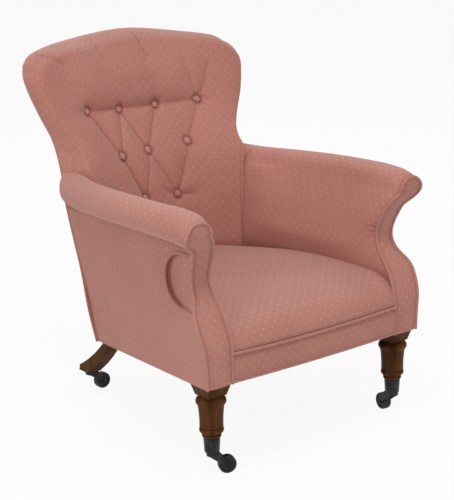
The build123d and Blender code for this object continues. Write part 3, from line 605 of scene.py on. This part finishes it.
def tuft(x, z):
    """How far the cloth lies behind the untufted back, and how much painted shade it takes in creases and
    round buttons.
    """
    near = np.full(x.shape, 1e3)
    painted_shade = np.zeros(x.shape)
    for a, b, shallow in CREASES:
        d = segment_distance(x, z, a, b)
        near = np.minimum(near, d + SHALLOW_STEP * shallow)
        # Painted shade along each crease, fainter where it is shallow
        shade = CREASE_SHADE - SHALLOW_FADE * shallow
        painted_shade = np.maximum(painted_shade, np.exp(-(d / CREASE_LINE) ** 2) * shade)
    for bx, bz in BUTTONS:
        d = np.hypot(x - bx, z - bz)
        near = np.minimum(near, np.maximum(d - DIMPLE_R, 0))
        # Painted shade in a ring round each button
        painted_shade = np.maximum(painted_shade, RING_SHADE * np.exp(-((d - RING_R) / RING_LINE) ** 2))
    sunk = CREASE_DEEP * np.exp(-near / CREASE_REACH)
    for bx, bz in BUTTONS:
        sunk += DIMPLE_DEEP * np.exp(-((x - bx) ** 2 + (z - bz) ** 2) / DIMPLE_REACH ** 2)
    row_x, row_z = zip((-300, 703), *HIGH_ROW, (300, 690))
    over = np.clip(z - np.interp(x, row_x, row_z), 0, None)
    swell = SWELL_DEEP * np.sin(math.pi * np.clip(over / SWELL_TALL, 0, 1) ** 0.8)
    swell *= below(np.abs(x + 10), 120, 235)
    return sunk - swell, painted_shade


def back_pad():
    """The padding's front, and the edge that rolls from it to the rear at the sides and the top."""
    rows, cols, rolled = 121, 131, 16
    wrap = np.linspace(0, 1, rolled + 1)[1:]
    s = np.concatenate([-np.ones(rolled), np.linspace(-1, 1, cols), np.ones(rolled)])
    t = np.concatenate([np.linspace(0, 1, rows), np.ones(rolled)])
    s, t = np.meshgrid(s, t)
    side = np.concatenate([wrap[::-1], np.zeros(cols), wrap])
    side, top = np.meshgrid(side, np.concatenate([np.zeros(rows), wrap]))
    roll = np.maximum(side, top)
    turn = math.pi / 4 * (1 + (top - side) / np.maximum(roll, 1e-6))
    bulge = np.sin(math.pi * np.minimum(roll, 0.9999)) ** 0.85
    deep = (1 - np.cos(math.pi * roll)) / 2
    corner = rounding(s, t, 0.92)
    x = s * BACK_START_X
    for _ in range(8):
        tall = seen_crest(x) - EDGE_DROP + EDGE_RISE * deep - PAD_LOW
        z = PAD_LOW + t * tall + EDGE_FULL * bulge * np.sin(turn) - corner
        free = step(z, *FREE_Z)
        half = seen_half(z, s) - 3 - EDGE_INSET * free
        wide = half + deep * (wide_rear(z) + 3 - half)
        full = np.maximum(seen_half(z, s) + 2 - (half + wide_rear(z) + 3) / 2, 3)
        x = s * wide + np.sign(s) * (full * bulge * np.cos(turn) - corner)
    eased = EASE_DEEP * free * np.clip((np.abs(x) - half + EASE_WIDE) / EASE_WIDE, 0, 1) ** 2
    near = back_front(np.clip(x, -half, half), z) + eased
    depth = np.maximum(back_rear(x, z) - near, 40)
    sunk, painted_shade = tuft(x, z)
    flat = 1 - step(deep, 0.05, 0.6)
    y = near + depth * deep + sunk * flat + 6 * step(deep, 0.85, 1.0)
    points = np.stack([x, y, z], axis=-1)
    # Painted shade: a little over the front and more on its upper part, at its foot by the seat, and along
    # the seams with the arms
    painted_shade = np.maximum(painted_shade, 0.06 + 0.10 * step(z, 640, 760)) * (1 - step(deep, 0.3, 0.9))
    painted_shade = np.maximum(painted_shade, 0.35 * below(z, 340, 362))
    seam = np.abs(np.abs(x) - back_half(z) + 5)
    painted_shade = np.maximum(painted_shade, 0.4 * np.exp(-seam / 3.0) * below(z, *SEAM_TOP) * flat)

    def outward(m):
        return np.stack([m[:, 0] * 0.3, m[:, 1] - 330, m[:, 2] - 600], 1)

    obj = grid("back_padding", points, outward, painted_shade, shell=6.0, origin=(rows // 2, points.shape[1] // 2))
    dress(obj, ["back_pad"])


back_pad()


def front_at(x, z):
    return float(back_front(np.array(x), np.array(z)))


def buttons():
    rings, sides = 9, 24
    verts, faces, uvs = [], [], []
    for bx, bz in BUTTONS:
        y = front_at(bx, bz) + BUTTON_SINK
        slope = (front_at(bx, bz + 5) - front_at(bx, bz - 5)) / 10
        turn = (front_at(bx + 5, bz) - front_at(bx - 5, bz)) / 10
        faces += ring_faces(rings, sides, len(verts))
        for i in range(rings):
            a = math.pi * (0.02 + 0.60 * i / (rings - 1))
            r = BUTTON_R * min(1.0, math.sin(a) ** 0.8)
            rise = BUTTON_RISE * math.cos(a)
            for j in range(sides):
                b = 2 * math.pi * j / sides
                dx, dz = r * math.cos(b), r * math.sin(b)
                verts.append((bx + dx, y - rise + slope * dz + turn * dx, bz + dz))
                uvs.append((dx * MM + 0.003, dz * MM))
    ring = (np.arange(len(verts)) // sides) % rings
    # Painted shade, darkest at each button's rim where it sinks into the cloth
    painted_shade = 0.5 * (ring / (rings - 1)) ** 3
    dress(cloth_mesh("covered_buttons", verts, faces, np.array(uvs), painted_shade), ["back_buttons"])


buttons()


# Arms
def arm_section(y):
    """Roll centre, radius, crease and inner face at one y."""
    crease_x = outer_x(y) + arm_lean(y)
    r = arm_r(y)
    cx = crease_x + arm_over(y) - r
    cz = ARM_TOP - arm_drop(y) - r
    return cx, cz, r, crease_x, ARM_TOP - arm_crease(y), inner_x(y)


def inner_line(y, z):
    """The inside of the arm below its roll: straight behind, drawn in at the neck in front."""
    cx, cz, r, _, _, xi = arm_section(y)
    t = np.clip((z - KNEE_Z) / (cz - KNEE_Z), 0, 1)
    x = xi + (cx - r - xi) * t ** (1 + 1.6 * below(y, -270, -130))
    neck = 4 * step(z, 310, SEAT_Z) + 8 * np.exp(-((z - SCOOP_Z) / NECK_TALL) ** 2)
    x = x + neck * np.exp(-np.clip(y - face_y(z), 0, None) / NECK_LONG)
    at_back = np.maximum(183, 184 + 0.178 * (z - SEAT_Z))
    return x + (at_back - x) * step(y, 60, 210)


# Points of the arm's cross-section: all, those on the inside, and the one on top
SECTION_POINTS, INSIDE_POINTS, TOP_POINT = 161, 109, 87
section_y = np.linspace(-330, 330, 67)


def section_line(y):
    """The arm's cross-section from the seat over the roll to the crease, as evenly spaced (x, z)."""
    cx, cz, r, crease_x, crease_z, _ = (float(v) for v in arm_section(y))
    line = [(float(inner_line(y, z)), z) for z in np.linspace(PAD_LOW, cz, 100)]
    for a in np.radians(np.linspace(180, ROLL_END, 100)[1:]):
        line.append((cx + r * math.cos(a), cz + r * math.sin(a)))
    line += [(crease_x + 4, crease_z + 1), (crease_x - 5, crease_z + 2)]
    line = soften(even([(x, 0, z) for x, z in line], 2.0), 30)
    run = run_along(line)
    at = np.linspace(0, run[-1], SECTION_POINTS)
    return np.stack([np.interp(at, run, line[:, 0]), np.interp(at, run, line[:, 2])], axis=1)


sections = np.array([section_line(y) for y in section_y])


def section_at(y, column):
    """Cross-section points at each y, for the column of each point."""
    t = (np.clip(y, section_y[0], section_y[-1]) - section_y[0]) / (section_y[1] - section_y[0])
    i = np.clip(t.astype(int), 0, len(section_y) - 2)
    f = (t - i)[..., None]
    return sections[i, column] * (1 - f) + sections[i + 1, column] * f


def arm_pad(side):
    """The arm's padding from the facing to the back, closed over its rear end."""
    rows, cap = 121, 8
    v = np.concatenate([np.linspace(0, 1, rows), np.ones(cap)])
    close = np.concatenate([np.zeros(rows), np.linspace(0, 1, cap + 1)[1:]])
    v, column = np.meshgrid(v, np.arange(SECTION_POINTS), indexing="ij")
    close = np.repeat(close[:, None], SECTION_POINTS, axis=1)
    y = np.zeros(v.shape)
    for _ in range(6):
        xz = section_at(y, column)
        start = face_y(xz[..., 1]) + 1.5
        end = back_rear(xz[..., 0], xz[..., 1]) - 12 + 10 * step(xz[..., 1], 470, 500)
        y = start + v * (end - start)
    x, z = xz[..., 0], xz[..., 1]
    cx, cz, _, _, _, xi = arm_section(y)
    spine_low = xi + 25
    spine_x = spine_low + (cx - spine_low) * np.clip((z - KNEE_Z) / (cz - KNEE_Z), 0, 1)
    spine_z = np.clip(z, PAD_LOW, cz)
    x = x + (spine_x - x) * close
    z = z + (spine_z - z) * close
    bulge = 5 * np.sin(close * math.pi / 2) * step(x, rear_half(z) + 2, rear_half(z) + 12)
    y = np.where(close > 0, np.minimum(y, back_rear(x, z) - 2) + bulge, y)
    ahead = y - face_y(z)
    high = np.exp(-((z - GATHER_Z) / GATHER_TALL) ** 2)
    neck = high * np.exp(-((ahead - GATHER_IN) / GATHER_LONG) ** 2) * step(ahead, 0, 8)
    inside = column < INSIDE_POINTS
    wave = np.sin(z / GATHER_PITCH * 2 * math.pi + ahead / 30.0)
    x = x + wave * neck * np.where(inside, GATHER_DEEP, 0)
    puff = 3.0 * np.sin(v * math.pi) ** 0.6
    x = x - np.where(inside, puff * step(z, 330, 400) * below(z, 470, 550), 0)
    # Painted shade: inside low down by the seat, in the crease under the roll, in the gathers, next to the
    # facing, and along the seam with the back
    painted_shade = 0.55 * below(z, 340, 372) * np.where(inside, 1, 0)
    painted_shade = np.maximum(painted_shade, 0.5 * step(column.astype(float), SECTION_POINTS - 12, SECTION_POINTS - 1))
    painted_shade = np.maximum(painted_shade, np.clip(np.where(inside, GATHER_SHADE, 0) * neck * (1 + wave), 0, 1))
    painted_shade = np.maximum(painted_shade, 0.55 * below(ahead, 0, 7))
    seam = np.abs(y - back_front(x, z) + 3)
    painted_shade = np.maximum(painted_shade, np.where(inside, 0.6, 0) * np.exp(-seam / 4.0) * below(z, *SEAM_TOP))
    points = on_side(np.stack([x, y, z], axis=-1), side)

    def outward(m):
        return np.stack([m[:, 0] - sign_of(side) * 285, m[:, 1] * 0, m[:, 2] - 500], 1)

    obj = grid("arm_padding_" + side, points, outward, painted_shade, shell=5.0, origin=(0, TOP_POINT))
    dress(obj, ["arm_pad_" + side])


# Outside arms with the hollow at the neck
def scoop_floor(y):
    return SCOOP_X - (y - SCOOP_Y) * SCOOP_SLOPE


def scoop_inside(y, z):
    """Distance inside the hollow's rim: round at the rear, open to the facing in front."""
    a = np.clip(y - SCOOP_Y, 0, None) / SCOOP_LONG
    b = np.abs(z - SCOOP_Z) / SCOOP_TALL
    return SCOOP_TALL * (1 - (a ** SCOOP_POWER + b ** SCOOP_POWER) ** (1 / SCOOP_POWER))


def panel_x(y, z):
    """The outside of the arm without its hollow: flat, and a little full low down in front."""
    _, _, _, crease_x, crease_z, _ = arm_section(y)
    flat = outer_x(y) + (crease_x - outer_x(y)) * np.clip((z - RAIL_Z) / (crease_z - RAIL_Z), 0, 1)
    hip = 9 * np.exp(-((z - 325) / 45.0) ** 2 - (y - FRONT_Y) / 100.0)
    return flat + hip


def panel_shape(y, z):
    """The outside of the arm with its hollow, and where the hollow is."""
    inside = step(scoop_inside(y, z), -1, 4)
    x = panel_x(y, z)
    return x + (np.minimum(scoop_floor(y) - 1.0, x) - x) * inside, inside


def panel_front(y, z):
    """The panel outside the hollow, led to the facing's own edge."""
    near = face_y(z)
    led = np.exp(-(y - near) / FACING_REACH) * below(z, 360, 380)
    return panel_x(y, z) + (facing_outer(z) - panel_x(near, z)) * led


def outside_arm(side):
    rows, cols = 111, 171
    t, q = np.meshgrid(np.linspace(0, 1, rows), np.linspace(0, 1, cols) ** 1.15, indexing="ij")
    z = np.full(t.shape, ARM_START_Z)
    y = np.zeros(t.shape)
    for _ in range(6):
        start = face_y(z) + 1
        end = back_rear(np.full(t.shape, ARM_REAR_X), z) + 3
        y = start + q * (end - start)
        _, _, _, _, crease_z, _ = arm_section(y)
        z = under_z(y) + t * (crease_z + 3 - under_z(y))
    x, inside = panel_shape(y, z)
    front, _ = panel_shape(face_y(z) + 1, z)
    puff = 3.5 * (np.sin(t * math.pi) * np.sin(q * math.pi)) ** 0.7
    x = x + (facing_outer(z) - front) * np.exp(-(y - start) / FACING_REACH) + puff * (1 - inside)
    rim = scoop_inside(y, z)
    # Painted shade: in the crease under the roll, round the hollow's rim, and next to the facing
    painted_shade = 0.45 * step(t, 0.95, 1.0)
    painted_shade = np.maximum(painted_shade, 0.65 * np.exp(-((rim - 4) / 5.0) ** 2) * step(y, -235, -190))
    painted_shade = np.maximum(painted_shade, 0.5 * np.exp(-(y - start) / 4.0) * below(rim, -6, 2))
    points = on_side(np.stack([x, y, z], axis=-1), side)
    outward = one_way(sign_of(side), 0, 0)
    obj = grid("outside_arm_cloth_" + side, points, outward, painted_shade, shell=4.0, origin=(0, 0))
    dress(obj, ["outside_arm_" + side])


# Facings
def facing_edges(z):
    """Inner edge, outer edge and depth of the facing at each height."""
    y = face_y(z)
    cx, cz, r, _, _, _ = arm_section(y)
    arch = np.sqrt(np.maximum(r ** 2 - (z - cz) ** 2, 0))
    inner = np.where(z > cz, cx - arch, inner_line(y, z))
    panel = facing_outer(z)
    tuck = panel + (cx + 0.5 * r - panel) * step(z, cz - r - 8, cz - 0.85 * r)
    outer = np.where(z < cz - 0.85 * r, tuck, cx + arch)
    return inner, outer, y


def facing_lines():
    _, cz, r, _, _, _ = arm_section(np.array(FACING_TOP_Y))
    z = np.concatenate([np.linspace(UNDER_FRONT, cz - 0.2 * r, 130),
                        cz + r * np.sin(np.radians(np.linspace(-11.5, 89.4, 40)))[1:]])
    inner, outer, y = facing_edges(z)
    inner[:125] = soften(inner[:125].copy(), 8)
    outer[:140] = soften(outer[:140].copy(), 4)
    return inner, outer, y, z


def facing(side):
    inner, outer, y, z = facing_lines()
    cols = 25
    s = np.linspace(0, 1, cols)
    x = inner[:, None] + (outer - inner)[:, None] * s
    puff = 4.0 * np.sin(s * math.pi)[None, :] ** 0.7 * np.clip((outer - inner) / 40, 0, 1)[:, None]
    depth = y[:, None] - puff + 1.0
    points = np.stack([x, depth, np.repeat(z[:, None], cols, axis=1)], axis=-1)
    edge = np.minimum(s, 1 - s)[None, :] * (outer - inner)[:, None]
    # Painted shade along the facing's edges, next to its piping
    painted_shade = 0.7 * np.exp(-edge / 4.0)
    obj = grid("facing_cloth_" + side, on_side(points, side), one_way(0, -1, 0), painted_shade, shell=5.0)
    dress(obj, ["arm_facing_" + side])


def facing_piping(side):
    inner, outer, y, z = facing_lines()
    up = np.stack([inner, y - 0.5, z], axis=1)
    down = np.stack([outer, y - 0.5, z], axis=1)[::-1]
    path = even(np.concatenate([up, down]), 4.0)
    path[1:-1] = (path[:-2] + path[1:-1] + path[2:]) / 3
    dress(tube("facing_piping_" + side, on_side(path, side), PIPE_R, painted_shade=0.0))


def scoop_piping(side):
    a = np.linspace(math.pi / 2, -math.pi / 2, 80)
    y = SCOOP_Y + SCOOP_LONG * np.abs(np.cos(a)) ** (2 / SCOOP_POWER)
    z = SCOOP_Z + SCOOP_TALL * np.sign(a) * np.abs(np.sin(a)) ** (2 / SCOOP_POWER)
    ahead = np.linspace(SCOOP_Y - 3, float(face_y(z[-1])) + 3, 12)
    y = np.concatenate([[SCOOP_Y - 18, SCOOP_Y - 9], y, ahead])
    z = np.concatenate([[z[0], z[0]], z, np.full(len(ahead), z[-1])])
    path = even(np.stack([panel_front(y, z) + 1.5, y, z], axis=1), 4.0)
    dress(tube("hollow_piping_" + side, on_side(path, side), PIPE_R, painted_shade=0.0))


def base_trim(side):
    count = 16
    x = np.linspace(SEAT_FRONT_HALF - 2, FRONT_HALF - 3, count)
    path = np.stack([x, np.full(count, TRIM_Y), np.full(count, TRIM_Z)], axis=1)
    # The piping at the base takes a little painted shade
    dress(tube("base_piping_" + side, on_side(path, side), TRIM_R, painted_shade=0.1))


def seam_piping(side):
    z = np.linspace(SEAT_Z, FREE_Z[0], 60)
    x = back_half(z) - 2.5
    path = np.stack([x, back_front(x, z) - 0.5, z], axis=1)
    dress(tube("back_seam_piping_" + side, on_side(path, side), SEAM_R, painted_shade=0.0))


for side in ("left", "right"):
    arm_pad(side)
    outside_arm(side)
    facing(side)
    facing_piping(side)
    scoop_piping(side)
    base_trim(side)
    seam_piping(side)

# Seat: its line from front to rear, (y, z), its crown, and its rise or fall beside the arms
SEAT_LINE = ((-312.5, 284), (-314, 292), (-310, 304), (-300, 315), (-286, 325), (-268, 333), (-240, 341),
             (-210, 347), (-160, 352), (-110, 355), (-50, 356), (10, 355), (70, 351), (130, 345), (190, 338),
             (240, 333))
seat_crown = smooth((-312, -298, -268, -210, -110, 10, 130, 250), (1, 4, 8, 11, 13, 13, 11, 8))
seat_side = smooth((-312, -298, -270, -200, -100, 0, 100, 200, 250), (0, 9, 13, 8, 4, 0, -7, -16, -16))
SIDE_REACH = 22.0


def cord_sag(s):
    """How far the seat's front edge hangs below the cord's own place."""
    return 4 + 6 * (1 - s ** 2)


def seat_pad():
    count = 121
    line = np.array(SEAT_LINE, float)
    run = run_along(line)
    at = np.linspace(0, run[-1], count)
    y = smooth(run, line[:, 0])(at)
    z = smooth(run, line[:, 1])(at)
    s = np.linspace(-1, 1, count)
    s = np.sign(s) * np.abs(s) ** 0.85
    half = inner_x(y) + 1.0
    x = half[:, None] * s[None, :]
    gap = half[:, None] - np.abs(x)
    top = z[:, None] + seat_crown(y)[:, None] * (1 - s[None, :] ** 2)
    top = top + seat_side(y)[:, None] * np.exp(-gap / SIDE_REACH)
    top = top - cord_sag(s)[None, :] * below(z, 284, 326)[:, None]
    y = np.repeat(y[:, None], count, axis=1)
    # Painted shade beside the arms and where the seat meets the back
    painted_shade = 0.45 * np.exp(-gap / 6.0)
    painted_shade = np.maximum(painted_shade, 0.5 * step(y - back_front(x, np.full(x.shape, SEAT_Z)), -14, 4))
    points = np.stack([x, y, top], axis=-1)
    obj = grid("seat_padding", points, one_way(0, -0.5, 1), painted_shade, shell=8.0)
    dress(obj, ["seat_pad"])


seat_pad()


FRONT_POINTS = 81


def front_border():
    rows = 25
    s = np.linspace(-1, 1, FRONT_POINTS)
    t = np.linspace(0, 1, rows)
    low = UNDER_FRONT - BORDER_SAG * (1 - s ** 2)
    z = low[None, :] + t[:, None] * (PIPE_Z - 1 - cord_sag(s) - low)[None, :]
    x = np.repeat((SEAT_FRONT_HALF - 1.0) * s[None, :], rows, axis=0)
    y = FRONT_Y - 5.0 * (np.sin(t * math.pi) ** 0.8)[:, None] * (1 - 0.6 * s[None, :] ** 8)
    # Painted shade under the cord at the top and along the foot
    painted_shade = np.maximum(0.5 * step(t, 0.88, 1.0), 0.4 * below(t, 0.06, 0.16))
    painted_shade = np.repeat(painted_shade[:, None], FRONT_POINTS, axis=1)
    points = np.stack([x, y, z], axis=-1)
    obj = grid("border_cloth", points, one_way(0, -1, 0), painted_shade, shell=5.0)
    dress(obj, ["front_border"])


def front_line(y, z):
    """A line across the seat's front."""
    x = np.linspace(-SEAT_FRONT_HALF, SEAT_FRONT_HALF, FRONT_POINTS)
    return np.stack([x, np.full(FRONT_POINTS, y), z], axis=1)


def front_piping():
    s = np.linspace(-1, 1, FRONT_POINTS)
    cord = front_line(CORD_Y + 1.3, PIPE_Z - cord_sag(s))
    # The cord and the piping at the base take a little painted shade
    dress(tube("front_piping", cord, CORD_R, painted_shade=0.05), ["seat_front_cord"])
    trim = front_line(TRIM_Y, TRIM_Z - BORDER_SAG * (1 - s ** 2))
    dress(tube("base_piping_front", trim, TRIM_R, painted_shade=0.1))


front_border()
front_piping()


def outside_back():
    s, t = np.meshgrid(np.linspace(-1, 1, 121), np.linspace(0, 1, 141))
    corner = rounding(s, t, 0.935)
    low = under_z(REAR_Y + 20)
    x = s * BACK_START_X
    for _ in range(8):
        z = low + t * (seen_crest(x) - 13 - low) - corner
        x = s * (wide_rear(z) + 1) - np.sign(s) * corner
    y = back_rear(x, z) + 5.3 + 2.5 * ((1 - s ** 2) * np.sin(t * math.pi)) ** 0.6
    points = np.stack([x, y, z], axis=-1)
    # Painted shade along the panel's edges
    edge = np.minimum(1 - np.abs(s), np.minimum(t, 1 - t)) * 280
    painted_shade = 0.35 * np.exp(-edge / 3.0)
    obj = grid("outside_back_cloth", points, one_way(0, 1, 0), painted_shade, shell=5.0)
    dress(obj, ["outside_back"])
    rim = np.concatenate([points[:, 0], points[-1, 1:-1], points[::-1, -1]])
    rim = soften(even(rim, 5.0), 6)
    # The piping round the outside back takes a little painted shade
    dress(tube("outside_back_piping", rim, TRIM_R, painted_shade=0.1))


outside_back()


# Dust sheet: how far it stays inside the base's edges, the bow of its rear edge, and its sag
DUST_FRONT, DUST_REAR, DUST_SIDE = 9.3, 4, 7
DUST_BOW, DUST_SAG = 43, 2.5


def dust_sheet():
    s, t = np.meshgrid(np.linspace(-1, 1, 41), np.linspace(0, 1, 37))
    front = FRONT_Y + DUST_FRONT
    y = front + t * (REAR_Y - DUST_REAR - front)
    x = s * (outer_x(y) - DUST_SIDE)
    y = y + t ** 3 * DUST_BOW * (1 - s ** 2)
    z = under_z(y) + 1.0 - DUST_SAG * ((1 - s ** 2) * np.sin(t * math.pi))
    points = np.stack([x, y, z], axis=-1)
    obj = grid("dust_sheet", points, one_way(0, 0, -1), np.zeros(x.shape), shell=0.8)
    dress(obj, ["dust_cover"], look=looks["dust_cloth"])


dust_sheet()

# Floor, light and camera: the floor's half width, how much of it glows to the eye, and the world's light
FLOOR_HALF, FLOOR_GLOW, WORLD_LIGHT = 9.0, 0.91, 0.5
floor_mesh = bpy.data.meshes.new("floor")
corners = [(x * FLOOR_HALF, y * FLOOR_HALF, 0) for x, y in ((-1, -1), (1, -1), (1, 1), (-1, 1))]
floor_mesh.from_pydata(corners, [], [(0, 1, 2, 3)])
floor = link(floor_mesh, "floor")


def seen_rays(tree):
    rays = node(tree, "ShaderNodeLightPath")
    seen = math_node(tree, "MAXIMUM", rays.outputs["Is Camera Ray"], rays.outputs["Is Glossy Ray"])
    return math_node(tree, "MAXIMUM", seen, rays.outputs["Is Transmission Ray"])


floor_material = bpy.data.materials.new("floor")
floor_material.use_nodes = True
tree = floor_material.node_tree
tree.nodes.clear()
matte = node(tree, "ShaderNodeBsdfDiffuse")
matte.inputs["Color"].default_value = (0.86, 0.86, 0.86, 1)
glow = node(tree, "ShaderNodeEmission")
glow.inputs["Color"].default_value = (1, 1, 1, 1)
both = node(tree, "ShaderNodeMixShader")
tree.links.new(math_node(tree, "MULTIPLY", seen_rays(tree), FLOOR_GLOW), both.inputs[0])
tree.links.new(matte.outputs[0], both.inputs[1])
tree.links.new(glow.outputs[0], both.inputs[2])
output = node(tree, "ShaderNodeOutputMaterial")
tree.links.new(both.outputs[0], output.inputs["Surface"])
floor_mesh.materials.append(floor_material)

world = bpy.data.worlds.new("studio")
world.use_nodes = True
bpy.context.scene.world = world
tree = world.node_tree
background = tree.nodes["Background"]
background.inputs["Color"].default_value = (1, 1, 1, 1)
camera_ray = node(tree, "ShaderNodeLightPath").outputs["Is Camera Ray"]
strength = map_range(tree, camera_ray, (0, 1), (WORLD_LIGHT, 1.0))
tree.links.new(strength, background.inputs["Strength"])


def lamp(name, place, target, size, power):
    data = bpy.data.lights.new(name, "AREA")
    data.shape = "DISK"
    data.size = size
    data.energy = power
    obj = link(data, name)
    obj.location = place
    obj.rotation_euler = (Vector(target) - Vector(place)).to_track_quat("-Z", "Y").to_euler()


LAMP_AIM = (0, 0, 0.4)
lamp("key", (-0.7, -1.05, 3.25), LAMP_AIM, 1.6, 48)
lamp("fill", (-3.0, -0.8, 1.6), LAMP_AIM, 1.8, 24)
lamp("low", (0.5, -3.2, 0.5), LAMP_AIM, 1.4, 7)
lamp("rim", (1.6, 2.4, 2.4), (0, 0, 0.5), 1.6, 25)

# The camera of the photo: place, aim, roll and lens, fitted to symmetric pairs of points
LENS = 110.15
EYE = Vector((-2.119, -2.704 + SHIFT_Y * MM, 1.374))
AIM = Vector((-0.003, SHIFT_Y * MM, 0.395))
ROLL = math.radians(-1.148)
camera_data = bpy.data.cameras.new("camera")
camera_data.sensor_width = 36
camera_data.lens = LENS
camera = link(camera_data, "camera")
ahead = (AIM - EYE).normalized()
right = ahead.cross(Vector((0, 0, 1))).normalized()
up = right.cross(ahead)
right, up = right * math.cos(ROLL) + up * math.sin(ROLL), up * math.cos(ROLL) - right * math.sin(ROLL)
turn = Matrix((right, up, -ahead)).transposed().to_4x4()
camera.matrix_world = Matrix.Translation(EYE) @ turn
bpy.context.scene.camera = camera
bpy.context.scene.view_settings.view_transform = "Standard"
